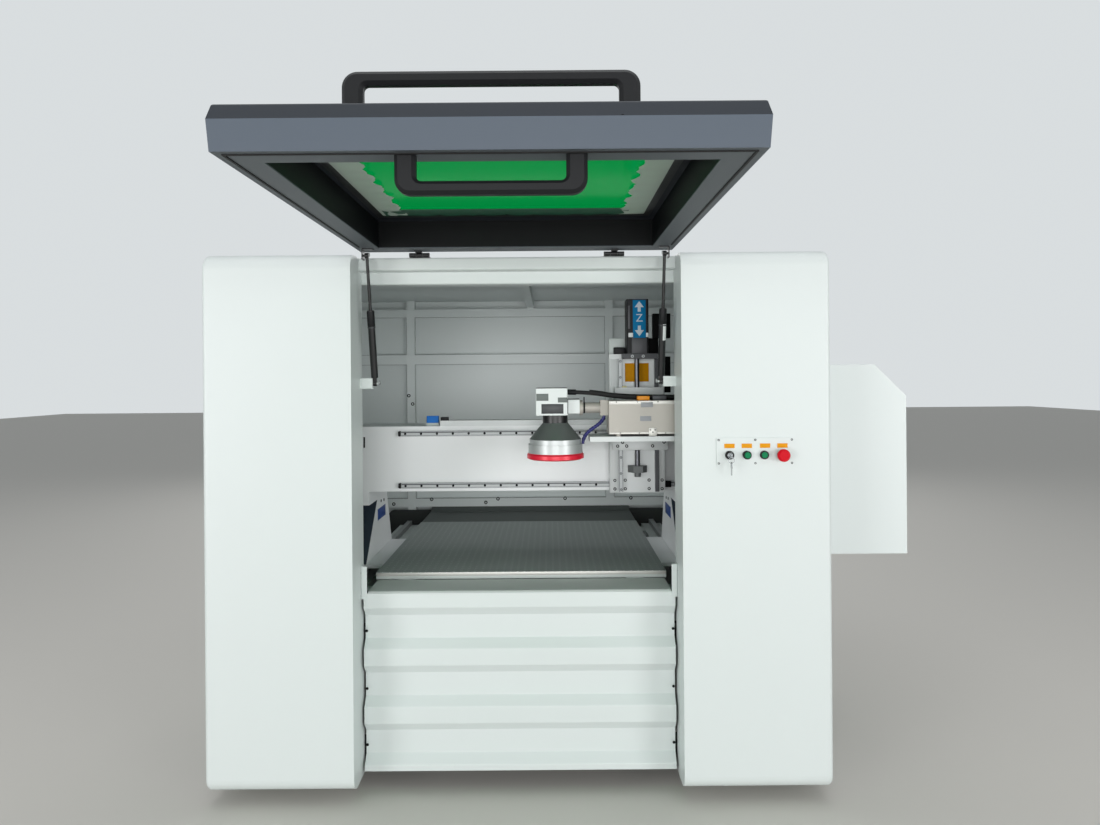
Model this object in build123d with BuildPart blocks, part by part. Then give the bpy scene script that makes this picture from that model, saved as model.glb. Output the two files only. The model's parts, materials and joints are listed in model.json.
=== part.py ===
from build123d import *
from math import atan, degrees, hypot
import os

# Laser marking machine, in millimetres. X runs to the right along the front, Y from front to back, Z up.
# The origin is the centre of the four feet, on the floor.

# Enclosure
body_w = 2000
body_d = 1540
body_top = 1770
foot_h = 50
sheet = 3
bend = 6
hood_side_gap = 8
pillar_d = 143
pillar_top_r = 47
skin_r = 15
skin_flange = 30
recess_d = 103
header_low = 1685
header_step = 1727
header_fold = 60

# Rear panel
louvre_w = 240
louvre_h = 8
louvre_pitch = 28
louvre_rows = 9
louvre_x = 620
louvre_z = 360
inlet_r = 25
inlet_x = 0
inlet_z = 220

# Base frame and feet
base_tube = 80
base_wall = 5
base_gap = 10
foot_inset_x = 150
foot_inset_y = 195
foot_pad_r = 40
foot_pad_h = 16
foot_stem_r = 10

# Lower front panel and ledge
lower_side_gap = 8
lower_top = 657
lower_bottom = 68
rib_depth = 25
rib_land = 54
rib_slope = 30
rib_groove = 78
top_land = 48
ledge_gap = 2
ledge_top = 663
ledge_fold = 40
stop_w = 20
stop_low = 640
stop_high = 748

# Worktable
table_side_gap = 15
table_rear_gap = 90
table_t = 20
table_top = 687
table_setback = 260
rear_plate_d = 270
fixture_margin = 60
fixture_r = 3.3
bed_tube = 100
table_bar_x = 400
table_bar_w = 60

# Rails of the frame behind the working space
frame_tube = 38
frame_rail_h = 50
post_w = 42
low_rail_h = 43
top_rail_h = 41
upper_rail_z = 1440
top_rail_z = 1684
low_rail_z = 704
post_left_x = -633
post_right_x = 392
roof_strut_w = 36
roof_strut_x = 8
roof_foot_h = 60
roof_foot_t = 5

# Side box for the overrun of the gantry beam
box_out = 355
box_front = 250
box_d = 1080
box_low = 743
box_high = 1406
box_chamfer = 110
box_wall_margin = 60

# Hood
hood_w = 1034
hood_l = 1116
hood_t = 89
hood_skin = 2.5
hood_rear = 100
hood_fold = 30
hood_taper_low = 4
hood_taper_top = 8
hood_corner_r = 6
hinge_back = 105
hinge_z = 1778.5
flange_gap = 8.5
flange_w = 78
window_side = 130
window_rear = 200
window_front = 150
window_lap = 15
window_t = 5
retainer_w = 30
retainer_t = 3
gasket_inset = 20
gasket_w = 5
gasket_stop = 20
gasket_t = 2
hinge_x = 322
hinge_w = 68
knuckle_r = 7
pin_r = 4
leaf_t = 3
leaf_d = 45
run_gap = 0.05
side_gap = 0.3

# Bow handles
handle_d = 27
handle_leg_w = 40
handle_bar_t = 26
handle_standoff = 75
handle_outer_r = 30
handle_inner_r = 10
handle_edge = 7
outer_handle_l = 565
inner_handle_l = 361
outer_handle_inset = 60
inner_handle_inset = 40

# Gas struts
strut_inset = 39
strut_low_y = 127
strut_low_z = 1354
strut_high_y = 28
strut_high_z = 1765
barrel_r = 11.5
barrel_start = 20
barrel_l = 225
rod_r = 5
rod_engaged = 30
eye_r = 9
eye_w = 12
strut_pin_r = 4
guide_l = 14
barrel_bore_r = 9
bracket_t = 3
bracket_gap = 5
bracket_w = 30
bracket_l = 34
bracket_block = 20
hood_bracket_h = 36
hood_bracket_d = 30

# Gantry that moves in Y
beam_front = 471
beam_d = 200
beam_low = 940
beam_h = 247
beam_over = 76
beam_wall = 8
leg_gap = 74
leg_t = 90
leg_plate_t = 12
leg_front = 420
leg_back = 868
leg_top_front = 605
leg_top_back = 781
leg_top = 888
foot_plate_gap = 5
foot_plate_w = 185
foot_plate_front = 415
foot_plate_t = 12
foot_plate_top = 675
rail_w = 23
rail_h = 22
y_rail_gap = 110
y_rail_over = 30
y_rail_front = 160
block_h = 48
block_w = 48
block_l = 84
rail_gap = 0.3

# X axis on the beam
x_rail_w = 20
x_rail_h = 17.5
x_rail_high = 1160
x_rail_low = 963
x_rail_left = -458
x_rail_end = 1180
x_block_h = 30
x_block_w = 44
x_block_l = 75
strip_left = -312
strip_right = 340
strip_w = 60
strip_t = 21
sensor_x = -344
sensor_w = 46
sensor_d = 22
sensor_h = 38
sensor_r = 3
x_motor_w = 60
x_motor_l = 55
x_motor_gap = 7
x_end_t = 10

# X carriage plate with the Z axis
plate_left = 328
plate_right = 534
plate_low = 937
plate_high = 1454
plate_t = 20
z_rail_left = 368
z_rail_right = 502
z_rail_w = 15
z_rail_low = 942
z_block_l = 75
screw_x = 430
screw_r = 9
screw_out = 15
journal_r = 6
bearing_low = 1014
bearing_high = 1039
bearing_w = 70
bearing_nut_r = 12
bearing_nut_h = 16
bearing_side = 12
bearing_nose = 16
mount_t = 18
mount_left = 374
mount_right = 503
motor_w = 80
motor_h = 200
motor_cap_r = 6

# Laser head
lens_x = 124
lens_y = 219
back_plate_low = 1100
back_plate_high = 1330
back_plate_t = 16
nut_low = 1180
nut_h = 60
nut_w = 36
nut_back = 2
shelf_low = 1150
shelf_t = 17
shelf_left = 241
shelf_right = 620
laser_left = 306
laser_right = 612
laser_low = 1175
laser_h = 113
laser_d = 118
laser_lift = 8
spacer_x = 240
spacer_y = 80
spacer_r = 9
end_plate_w = 27
end_plate_d = 46
end_plate_h = 52
tube_r = 18
tube_flange_r = 26
tube_flange_t = 11
tube_z = 1263.5
galvo_left = 58
galvo_w = 108
galvo_low = 1240
galvo_h = 92
galvo_d = 100
galvo_r = 3
port_w = 42
port_h = 49
port_lift = 4
neck_r = 43
neck_h = 27
cone_r = 89.5
cone_h = 56
barrel1_h = 17
barrel2_r = 94
barrel2_h = 30
bezel_r = 98.5
bezel_h = 22
bezel_edge = 8
lens_wall = 7
lens_lip = 6.5
glass_t = 4

# Hose and cable of the laser head
hose_r = 5
hose_drop = 20
hose_bend = 12
hose_side = 15
hose_end_z = 1172
cable_r = 7
cable_up = 78
cable_reach = 70
cable_bend = 30
cable_inset = 60
cable_back = 20

# Control panel on the right pillar
panel_x = 756
panel_z = 1129
panel_w = 246
panel_h = 89
panel_t = 3
panel_r = 4
device_pitch = 55
device_z = 1119
device_r = 11
bezel_out_r = 13.5
bezel_out_t = 10
device_body_l = 40
device_floor = 10
cap_r = 9.5
cap_out_a = 6
cap_out_b = 1.5
cap_gap = 0.3
cap_travel = 3
cap_edge = 1
mushroom_r = 20
mushroom_out = 24
mushroom_t = 12
mushroom_edge = 5
mushroom_travel = 4
lock_r = 8
key_w = 22
key_l = 24
key_t = 2.5
key_corner_r = 5
key_hole_in = 6
lock_out = 1
key_ring_r = 9
key_wire_r = 0.9
spare_bow_w = 18
spare_bow_h = 20
spare_blade_w = 6
spare_blade_l = 26
spare_lap = 4

# Places worked out from the sizes above
front = -body_d / 2
back = body_d / 2
foot_x = body_w - 2 * foot_inset_x
foot_y = body_d - 2 * foot_inset_y
strut_x = hood_w / 2 - strut_inset
recess_y = front + recess_d
pillar_back = front + pillar_d
gap_w = hood_w + 2 * hood_side_gap
gap_x = gap_w / 2
lower_w = gap_w - 2 * lower_side_gap
table_w = gap_w - 2 * table_side_gap
foot_plate_in = table_w / 2 + foot_plate_gap
foot_plate_out = foot_plate_in + foot_plate_w
leg_x = table_w / 2 + leg_gap
y_rail_x = table_w / 2 + y_rail_gap
beam_left = leg_x + beam_over
ledge_w = 2 * (gap_x - stop_w - ledge_gap)
pillar_w = (body_w - gap_w) / 2
pillar_x = (body_w + gap_w) / 4
table_front = front + table_setback
table_d = body_d - table_setback - rear_plate_d - table_rear_gap
fixture_x = table_w - 2 * fixture_margin
fixture_y = table_d - 2 * fixture_margin
table_back = table_front + table_d
rear_plate_back = table_back + rear_plate_d
hood_flange_z = hinge_z + flange_gap
hood_top_z = hood_flange_z + hood_t
hood_y = front + hood_rear - hood_l / 2
hinge_y = front + hinge_back
beam_y = front + beam_front
beam_right = body_w / 2 + box_out - sheet - x_motor_gap - x_motor_l - x_end_t
plate_y = beam_y - x_block_h - plate_t
head_y = plate_y - x_block_h
lens_axis_y = front + lens_y
bed_top = foot_plate_top - foot_plate_t - block_h

os.makedirs("parts", exist_ok=True)


# Pillar covers, folded from sheet and open at the back


def pillar_cover(side, holes):
    """One front pillar, with round holes at the given X places for the devices on it."""
    with BuildPart() as cover:
        with BuildSketch(Plane.XY.offset(foot_h)):
            with Locations((side * pillar_x, front + pillar_d / 2)):
                Rectangle(pillar_w, pillar_d)
        extrude(amount=body_top - foot_h)
        front_face = cover.faces().sort_by(Axis.Y)[0]
        fillet(front_face.edges().filter_by(Axis.X), radius=pillar_top_r)
        outer_face = cover.faces().sort_by(Axis.X)[-1 if side > 0 else 0]
        outer_front = outer_face.edges().filter_by(Axis.Z).sort_by(Axis.Y)[0]
        fillet(outer_front, radius=skin_r)
        offset(amount=-sheet, openings=cover.faces().sort_by(Axis.Y)[-1])
        if holes:
            with BuildSketch(Plane.XZ.offset(-front)):
                with Locations([(x, device_z) for x in holes]):
                    Circle(device_r + cap_gap)
            extrude(amount=-2 * sheet, mode=Mode.SUBTRACT)
    return cover


device_x = [panel_x + (n - 1.5) * device_pitch for n in range(4)]
pillar_left = pillar_cover(-1, [])
pillar_left.part.label = "pillar_left"
export_step(pillar_left.part, "parts/pillar_left.step")
pillar_right = pillar_cover(1, device_x)
pillar_right.part.label = "pillar_right"
export_step(pillar_right.part, "parts/pillar_right.step")

# Side panels, folded in at the top; the right one is open into the side box
window_y0 = front + box_front + box_wall_margin
window_y1 = front + box_front + box_d - box_wall_margin
window_z0 = box_low + box_wall_margin
window_z1 = box_high - box_chamfer - sheet

with BuildPart() as side_panels:
    for side in (-1, 1):
        side_x = side * (body_w / 2 - sheet / 2)
        with BuildSketch(Plane.XZ.offset(-pillar_back)):
            with BuildLine():
                FilletPolyline(
                    (side_x, foot_h),
                    (side_x, body_top - sheet / 2),
                    (side_x - side * skin_flange, body_top - sheet / 2),
                    radius=skin_r - sheet / 2,
                )
            trace(line_width=sheet)
        extrude(amount=-(body_d - pillar_d))
    with BuildSketch(Plane.YZ.offset(body_w / 2 - 2 * sheet)):
        with Locations(((window_y0 + window_y1) / 2, (window_z0 + window_z1) / 2)):
            Rectangle(window_y1 - window_y0, window_z1 - window_z0)
    extrude(amount=4 * sheet, mode=Mode.SUBTRACT)
side_panels.part.label = "side_panels"
export_step(side_panels.part, "parts/side_panels.step")

# Roof between the folded edges of the side panels, from the header and the pillars to the back
roof_w = body_w - 2 * (skin_flange + sheet / 2)
with BuildPart() as roof_panel:
    with BuildSketch(Plane.XY.offset(body_top - sheet)):
        with Locations((0, (pillar_back + back) / 2)):
            Rectangle(roof_w, back - pillar_back)
        with Locations((0, (pillar_back + recess_y + header_fold) / 2)):
            Rectangle(gap_w - 2 * side_gap, recess_y + header_fold - pillar_back, mode=Mode.SUBTRACT)
    extrude(amount=sheet)
roof_panel.part.label = "roof_panel"
export_step(roof_panel.part, "parts/roof_panel.step")

# Header over the door opening, folded with a step
with BuildPart() as header:
    with BuildSketch(Plane.YZ.offset(-gap_x + side_gap)):
        with BuildLine():
            FilletPolyline(
                (recess_y + header_fold, body_top - sheet / 2),
                (recess_y + sheet / 2, body_top - sheet / 2),
                (recess_y + sheet / 2, header_step + sheet / 2),
                (pillar_back + sheet / 2, header_step + sheet / 2),
                (pillar_back + sheet / 2, header_low + sheet / 2),
                (pillar_back + header_fold, header_low + sheet / 2),
                radius=bend,
            )
        trace(line_width=sheet)
    extrude(amount=gap_w - 2 * side_gap)
header.part.label = "header"
export_step(header.part, "parts/header.step")

# Rear panel with two louvred fields and a round cable inlet
with BuildPart() as rear_panel:
    with BuildSketch(Plane.XZ.offset(-back)) as rear_sheet:
        with Locations((0, (foot_h + body_top - sheet) / 2)):
            Rectangle(body_w - 2 * sheet, body_top - sheet - foot_h)
        fillet(rear_sheet.vertices().group_by(Axis.Y)[-1], radius=skin_r)
        for x in (-louvre_x, louvre_x):
            with Locations((x, louvre_z)):
                with GridLocations(0, louvre_pitch, 1, louvre_rows):
                    Rectangle(louvre_w, louvre_h, mode=Mode.SUBTRACT)
        with Locations((inlet_x, inlet_z)):
            Circle(inlet_r, mode=Mode.SUBTRACT)
    extrude(amount=sheet)
rear_panel.part.label = "rear_panel"
export_step(rear_panel.part, "parts/rear_panel.step")

# Base frame of square tube, with cross bars over the feet
frame_y0 = pillar_back + base_gap
frame_y1 = back - sheet
base_top = foot_h + base_tube
base_side_x = body_w / 2 - sheet - base_tube / 2
with BuildPart() as base_frame:
    for y in (-foot_y / 2, foot_y / 2, frame_y1 - base_tube / 2):
        with BuildSketch(Plane.YZ.offset(-base_side_x + base_tube / 2)):
            with Locations((y, foot_h + base_tube / 2)):
                Rectangle(base_tube, base_tube)
                Rectangle(base_tube - 2 * base_wall, base_tube - 2 * base_wall, mode=Mode.SUBTRACT)
        extrude(amount=2 * base_side_x - base_tube)
    for x in (-base_side_x, base_side_x):
        with BuildSketch(Plane.XZ.offset(-frame_y0)):
            with Locations((x, foot_h + base_tube / 2)):
                Rectangle(base_tube, base_tube)
                Rectangle(base_tube - 2 * base_wall, base_tube - 2 * base_wall, mode=Mode.SUBTRACT)
        extrude(amount=-(frame_y1 - frame_y0))
base_frame.part.label = "base_frame"
export_step(base_frame.part, "parts/base_frame.step")

# Four levelling feet: a wide pad and a stem up to the frame
with BuildPart() as feet:
    with GridLocations(foot_x, foot_y, 2, 2):
        Cylinder(foot_pad_r, foot_pad_h, align=(Align.CENTER, Align.CENTER, Align.MIN))
        Cylinder(foot_stem_r, foot_h, align=(Align.CENTER, Align.CENTER, Align.MIN))
feet.part.label = "feet"
export_step(feet.part, "parts/feet.step")

# Lower front panel with trapezoid ribs
proud_y = recess_y + sheet + side_gap + sheet / 2
groove_y = proud_y + rib_depth
rib_pitch = rib_land + 2 * rib_slope + rib_groove
rib_points = [(proud_y, lower_top)]
for n in range(3):
    z = lower_top - top_land - n * rib_pitch
    rib_points += [
        (proud_y, z),
        (groove_y, z - rib_slope),
        (groove_y, z - rib_slope - rib_groove),
        (proud_y, z - 2 * rib_slope - rib_groove),
    ]
rib_points.append((proud_y, lower_bottom))
with BuildPart() as lower_panel:
    with BuildSketch(Plane.YZ.offset(-lower_w / 2)):
        with BuildLine():
            FilletPolyline(*rib_points, radius=bend)
        trace(line_width=sheet)
    extrude(amount=lower_w)
lower_panel.part.label = "lower_panel"
export_step(lower_panel.part, "parts/lower_panel.step")

# Ledge behind the lower panel, folded down at its front and back
ledge_y0 = proud_y + sheet / 2 + sheet / 2
ledge_y1 = table_front - sheet
with BuildPart() as ledge:
    with BuildSketch(Plane.YZ.offset(-ledge_w / 2)):
        with BuildLine():
            FilletPolyline(
                (ledge_y0, ledge_top - ledge_fold),
                (ledge_y0, ledge_top - sheet / 2),
                (ledge_y1, ledge_top - sheet / 2),
                (ledge_y1, ledge_top - ledge_fold),
                radius=bend,
            )
        trace(line_width=sheet)
    extrude(amount=ledge_w)
ledge.part.label = "ledge"
export_step(ledge.part, "parts/ledge.step")

# Stop plates that the closed hood rests near, each an angle on the pillar's side
with BuildPart() as stop_plates:
    for side in (-1, 1):
        with BuildSketch(Plane.XY.offset(stop_low)):
            with BuildLine():
                FilletPolyline(
                    (side * (gap_x - stop_w), recess_y + sheet / 2),
                    (side * (gap_x - sheet / 2), recess_y + sheet / 2),
                    (side * (gap_x - sheet / 2), pillar_back - bend),
                    radius=sheet,
                )
            trace(line_width=sheet)
        extrude(amount=stop_high - stop_low)
stop_plates.part.label = "stop_plates"
export_step(stop_plates.part, "parts/stop_plates.step")

# Welded rails and posts on the back wall, and the strut under the roof from the header to the top rail
rail_y1 = back - sheet
with BuildPart() as rear_frame:
    for z, height in (
        (low_rail_z, low_rail_h),
        (upper_rail_z, frame_rail_h),
        (top_rail_z, top_rail_h),
    ):
        with BuildSketch(Plane.XY.offset(z)):
            with Locations((0, rail_y1 - frame_tube / 2)):
                Rectangle(body_w - 2 * sheet, frame_tube)
        extrude(amount=height)
    for x in (post_left_x, post_right_x):
        with BuildSketch(Plane.XY.offset(base_top)):
            with Locations((x + post_w / 2, rail_y1 - frame_tube / 2)):
                Rectangle(post_w, frame_tube)
        extrude(amount=body_top - sheet - base_top)
    with BuildSketch(Plane.XZ.offset(-(pillar_back + header_fold))):
        with Locations((roof_strut_x, body_top - sheet - roof_strut_w / 2)):
            Rectangle(roof_strut_w, roof_strut_w)
            Rectangle(roof_strut_w - 2 * sheet, roof_strut_w - 2 * sheet, mode=Mode.SUBTRACT)
    extrude(amount=-(rail_y1 - frame_tube - pillar_back - header_fold))
    with BuildSketch(Plane.XZ.offset(-(rail_y1 - frame_tube))):
        with Locations((roof_strut_x, body_top - sheet - roof_foot_h / 2)):
            Rectangle(roof_strut_w, roof_foot_h)
    extrude(amount=roof_foot_t)
rear_frame.part.label = "rear_frame"
export_step(rear_frame.part, "parts/rear_frame.step")

# Side box, a shell with a chamfered top edge, open towards the body
with BuildPart() as side_box:
    with BuildSketch(Plane.XZ.offset(-(front + box_front))):
        with BuildLine():
            Polyline(
                (body_w / 2, box_low),
                (body_w / 2 + box_out, box_low),
                (body_w / 2 + box_out, box_high - box_chamfer),
                (body_w / 2 + box_out - box_chamfer, box_high),
                (body_w / 2, box_high),
                close=True,
            )
        make_face()
    extrude(amount=-box_d)
    offset(amount=-sheet, openings=side_box.faces().sort_by(Axis.X)[0])
side_box.part.label = "side_box"
export_step(side_box.part, "parts/side_box.step")

# Bed: side beams for the Y rails on posts, cross beams between them, and bars that carry the table
bed_y0 = front + y_rail_front
y_rail_l = rear_plate_back + y_rail_over - bed_y0
cross_w = 2 * y_rail_x - bed_tube
with BuildPart() as bed_frame:
    for x in (-y_rail_x, y_rail_x):
        with BuildSketch(Plane.XZ.offset(-bed_y0)):
            with Locations((x, bed_top - bed_tube / 2)):
                Rectangle(bed_tube, bed_tube)
                Rectangle(bed_tube - 2 * base_wall, bed_tube - 2 * base_wall, mode=Mode.SUBTRACT)
        extrude(amount=-y_rail_l)
        for y in (-foot_y / 2, foot_y / 2):
            with BuildSketch(Plane.XY.offset(base_top)):
                with Locations((x, y)):
                    Rectangle(base_tube, base_tube)
            extrude(amount=bed_top - bed_tube - base_top)
    for y in (-foot_y / 2 + bed_tube, 0, foot_y / 2):
        with BuildSketch(Plane.YZ.offset(-cross_w / 2)):
            with Locations((y, bed_top - bed_tube / 2)):
                Rectangle(bed_tube, bed_tube)
                Rectangle(bed_tube - 2 * base_wall, bed_tube - 2 * base_wall, mode=Mode.SUBTRACT)
        extrude(amount=cross_w)
    for x in (-table_bar_x, table_bar_x):
        with BuildSketch(Plane.XZ.offset(-table_front)):
            with Locations((x, (bed_top + table_top - table_t) / 2)):
                Rectangle(table_bar_w, table_top - table_t - bed_top)
        extrude(amount=-(rear_plate_back - table_front))
bed_frame.part.label = "bed_frame"
export_step(bed_frame.part, "parts/bed_frame.step")

# Worktable with four fixture holes at the corners of its grid
table_y = (table_front + table_back) / 2
with BuildPart() as table:
    with BuildSketch(Plane.XY.offset(table_top - table_t)):
        with Locations((0, table_y)):
            Rectangle(table_w, table_d)
            with GridLocations(fixture_x, fixture_y, 2, 2):
                Circle(fixture_r, mode=Mode.SUBTRACT)
    extrude(amount=table_t)
table.part.label = "table"
export_step(table.part, "parts/table.step")

with BuildPart() as rear_plate:
    with BuildSketch(Plane.XY.offset(table_top - table_t)):
        with Locations((0, (table_back + rear_plate_back) / 2 + side_gap)):
            Rectangle(table_w, rear_plate_d)
    extrude(amount=table_t - sheet)
rear_plate.part.label = "rear_plate"
export_step(rear_plate.part, "parts/rear_plate.step")

# Hood: the outer shell, folded a little below its outer face
with BuildPart() as hood_shell:
    low_h = hood_t - hood_fold
    with BuildSketch(Plane.XY.offset(hood_flange_z + low_h)):
        with Locations((0, hood_y)):
            Rectangle(hood_w, hood_l)
    extrude(amount=hood_fold, taper=degrees(atan(hood_taper_top / hood_fold)))
    with BuildSketch(Plane.XY.offset(hood_flange_z + low_h)):
        with Locations((0, hood_y)):
            Rectangle(hood_w, hood_l)
    extrude(amount=-low_h, taper=degrees(atan(hood_taper_low / low_h)))
    fillet(hood_shell.faces().sort_by(Axis.Z)[-1].edges(), radius=hood_corner_r)
    offset(amount=-hood_skin, openings=hood_shell.faces().sort_by(Axis.Z)[0])
    window_w = hood_w - 2 * window_side
    window_l = hood_l - window_rear - window_front
    window_y = front + hood_rear - window_rear - window_l / 2
    with BuildSketch(Plane.XY.offset(hood_top_z - 2 * hood_skin)):
        with Locations((0, window_y)):
            Rectangle(window_w, window_l)
    extrude(amount=3 * hood_skin, mode=Mode.SUBTRACT)
hood_shell.part.label = "hood_shell"
export_step(hood_shell.part, "parts/hood_shell.step")

# Flange frame of the hood: a flat ring and its upstand round the hollow
frame_w = hood_w - 2 * (hood_taper_low + hood_skin + side_gap)
frame_l = hood_l - 2 * (hood_taper_low + hood_skin + side_gap)
inner_w = hood_w - 2 * flange_w
inner_l = hood_l - 2 * flange_w
skin_under = hood_top_z - hood_skin
with BuildPart() as hood_frame:
    with BuildSketch(Plane.XY.offset(hood_flange_z)):
        with Locations((0, hood_y)):
            Rectangle(frame_w, frame_l)
            Rectangle(inner_w, inner_l, mode=Mode.SUBTRACT)
    extrude(amount=hood_skin)
    with BuildSketch(Plane.XY.offset(hood_flange_z)):
        with Locations((0, hood_y)):
            Rectangle(inner_w + 2 * hood_skin, inner_l + 2 * hood_skin)
            Rectangle(inner_w, inner_l, mode=Mode.SUBTRACT)
    extrude(amount=skin_under - hood_flange_z)
hood_frame.part.label = "hood_frame"
export_step(hood_frame.part, "parts/hood_frame.step")

# Laser safety window and the ring of flat bar that holds it up against the skin
with BuildPart() as window:
    with BuildSketch(Plane.XY.offset(skin_under - window_t)):
        with Locations((0, window_y)):
            Rectangle(window_w + 2 * window_lap, window_l + 2 * window_lap)
    extrude(amount=window_t)
window.part.label = "window"
export_step(window.part, "parts/window.step")

with BuildPart() as window_retainer:
    with BuildSketch(Plane.XY.offset(skin_under - window_t - retainer_t)):
        with Locations((0, window_y)):
            Rectangle(window_w + 2 * retainer_w, window_l + 2 * retainer_w)
            Rectangle(window_w, window_l, mode=Mode.SUBTRACT)
    extrude(amount=retainer_t)
window_retainer.part.label = "window_retainer"
export_step(window_retainer.part, "parts/window_retainer.step")

# Gasket on the flange, along its front and its sides as far as the strut brackets
gasket_out_w = hood_w - 2 * gasket_inset
gasket_out_l = hood_l - 2 * gasket_inset
gasket_end_y = front + strut_high_y - hood_bracket_d / 2 - gasket_stop
with BuildPart() as gasket:
    with BuildSketch(Plane.XY.offset(hood_flange_z - gasket_t)):
        with Locations((0, hood_y)):
            Rectangle(gasket_out_w, gasket_out_l)
            Rectangle(gasket_out_w - 2 * gasket_w, gasket_out_l - 2 * gasket_w, mode=Mode.SUBTRACT)
        with Locations((0, gasket_end_y + gasket_out_l / 2)):
            Rectangle(hood_w, gasket_out_l, mode=Mode.SUBTRACT)
    extrude(amount=gasket_t)
gasket.part.label = "gasket"
export_step(gasket.part, "parts/gasket.step")

# Hinges: each fixed half has two knuckles, a leaf on the header and the pin
knuckle_l = hinge_w / 3
with BuildPart() as hinge_bases:
    for centre in (-hinge_x, hinge_x):
        for x in (centre - knuckle_l, centre + knuckle_l):
            with BuildSketch(Plane.YZ.offset(x - knuckle_l / 2 + side_gap)):
                with Locations((hinge_y, hinge_z)):
                    Circle(knuckle_r)
                with Locations((hinge_y + leaf_d / 2, body_top + leaf_t / 2)):
                    Rectangle(leaf_d, leaf_t)
            extrude(amount=knuckle_l - 2 * side_gap)
        with BuildSketch(Plane.XY.offset(body_top)):
            with Locations((centre, hinge_y + knuckle_r + side_gap + leaf_d / 2)):
                Rectangle(hinge_w - 2 * side_gap, leaf_d)
        extrude(amount=leaf_t)
        with BuildSketch(Plane.YZ.offset(centre - hinge_w / 2)):
            with Locations((hinge_y, hinge_z)):
                Circle(pin_r)
        extrude(amount=hinge_w)
hinge_bases.part.label = "hinge_bases"
export_step(hinge_bases.part, "parts/hinge_bases.step")

# Each hood half has the middle knuckle and a leaf under the flange
with BuildPart() as hinge_leaves:
    for centre in (-hinge_x, hinge_x):
        with BuildSketch(Plane.YZ.offset(centre - knuckle_l / 2 + side_gap)):
            with Locations((hinge_y, hinge_z)):
                Circle(knuckle_r)
            with Locations((hinge_y - leaf_d / 2, hood_flange_z - leaf_t / 2)):
                Rectangle(leaf_d, leaf_t)
            with Locations((hinge_y, hinge_z)):
                Circle(pin_r + run_gap, mode=Mode.SUBTRACT)
        extrude(amount=knuckle_l - 2 * side_gap)
hinge_leaves.part.label = "hinge_leaves"
export_step(hinge_leaves.part, "parts/hinge_leaves.step")


# Bow handles, moulded in one piece with legs that are wider than the bar
outer_handle_y = front + hood_rear - hood_l + outer_handle_inset
inner_handle_y = front + hood_rear - hood_l + inner_handle_inset


def bow_handle(length, y, z, way):
    """A bow handle that stands on the height z, upwards or downwards, with all its long edges bevelled."""
    half = length / 2
    tip = z + way * handle_standoff
    with BuildPart() as handle:
        with BuildSketch(Plane.XZ.offset(-(y - handle_d / 2))):
            with BuildLine():
                Polyline(
                    (-half, z),
                    (-half, tip),
                    (half, tip),
                    (half, z),
                    (half - handle_leg_w, z),
                    (half - handle_leg_w, tip - way * handle_bar_t),
                    (handle_leg_w - half, tip - way * handle_bar_t),
                    (handle_leg_w - half, z),
                    close=True,
                )
            make_face()
        extrude(amount=-handle_d)
        corners = handle.edges().filter_by(Axis.Y)
        inside = [e for e in corners if abs(e.center().Z - (tip - way * handle_bar_t)) < handle_edge]
        outside = [e for e in corners if abs(e.center().Z - tip) < handle_edge]
        fillet(outside, radius=handle_outer_r)
        fillet(inside, radius=handle_inner_r)
        sides = handle.faces().filter_by(Axis.Y)
        rims = [e for face in sides for e in face.edges() if abs(e.center().Z - z) > handle_edge]
        chamfer(rims, length=handle_edge)
    return handle.part


with BuildPart() as hood_handles:
    add(bow_handle(outer_handle_l, outer_handle_y, hood_top_z, 1))
    add(bow_handle(inner_handle_l, inner_handle_y, hood_flange_z, -1))
hood_handles.part.label = "hood_handles"
export_step(hood_handles.part, "parts/hood_handles.step")

# Gas struts
low_y = front + strut_low_y
high_y = front + strut_high_y
strut_l = hypot(high_y - low_y, strut_high_z - strut_low_z)
strut_dir = (0, (high_y - low_y) / strut_l, (strut_high_z - strut_low_z) / strut_l)


def strut_plane(side, along):
    """A plane across the strut, at a distance along it from its lower pivot."""
    return Plane(
        origin=(side * strut_x, low_y + strut_dir[1] * along, strut_low_z + strut_dir[2] * along),
        x_dir=(1, 0, 0),
        z_dir=strut_dir,
    )


def strut_barrel(side):
    """The barrel of a gas strut with the eye at its foot and the guide bore at its top."""
    with BuildPart() as barrel:
        with BuildSketch(Plane.YZ.offset(side * strut_x - eye_w / 2)):
            with Locations((low_y, strut_low_z)):
                Circle(eye_r)
        extrude(amount=eye_w)
        with BuildSketch(strut_plane(side, 0)):
            Rectangle(eye_w, eye_w)
        extrude(amount=barrel_start)
        with BuildSketch(strut_plane(side, barrel_start)):
            Circle(barrel_r)
        extrude(amount=barrel_l)
        with BuildSketch(Plane.YZ.offset(side * strut_x - eye_w)):
            with Locations((low_y, strut_low_z)):
                Circle(strut_pin_r + run_gap)
        extrude(amount=2 * eye_w, mode=Mode.SUBTRACT)
        with BuildSketch(strut_plane(side, barrel_start + guide_l)):
            Circle(barrel_bore_r)
        extrude(amount=barrel_l - 2 * guide_l, mode=Mode.SUBTRACT)
        with BuildSketch(strut_plane(side, barrel_start + barrel_l - 2 * guide_l)):
            Circle(rod_r + run_gap)
        extrude(amount=3 * guide_l, mode=Mode.SUBTRACT)
    return barrel


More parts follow.
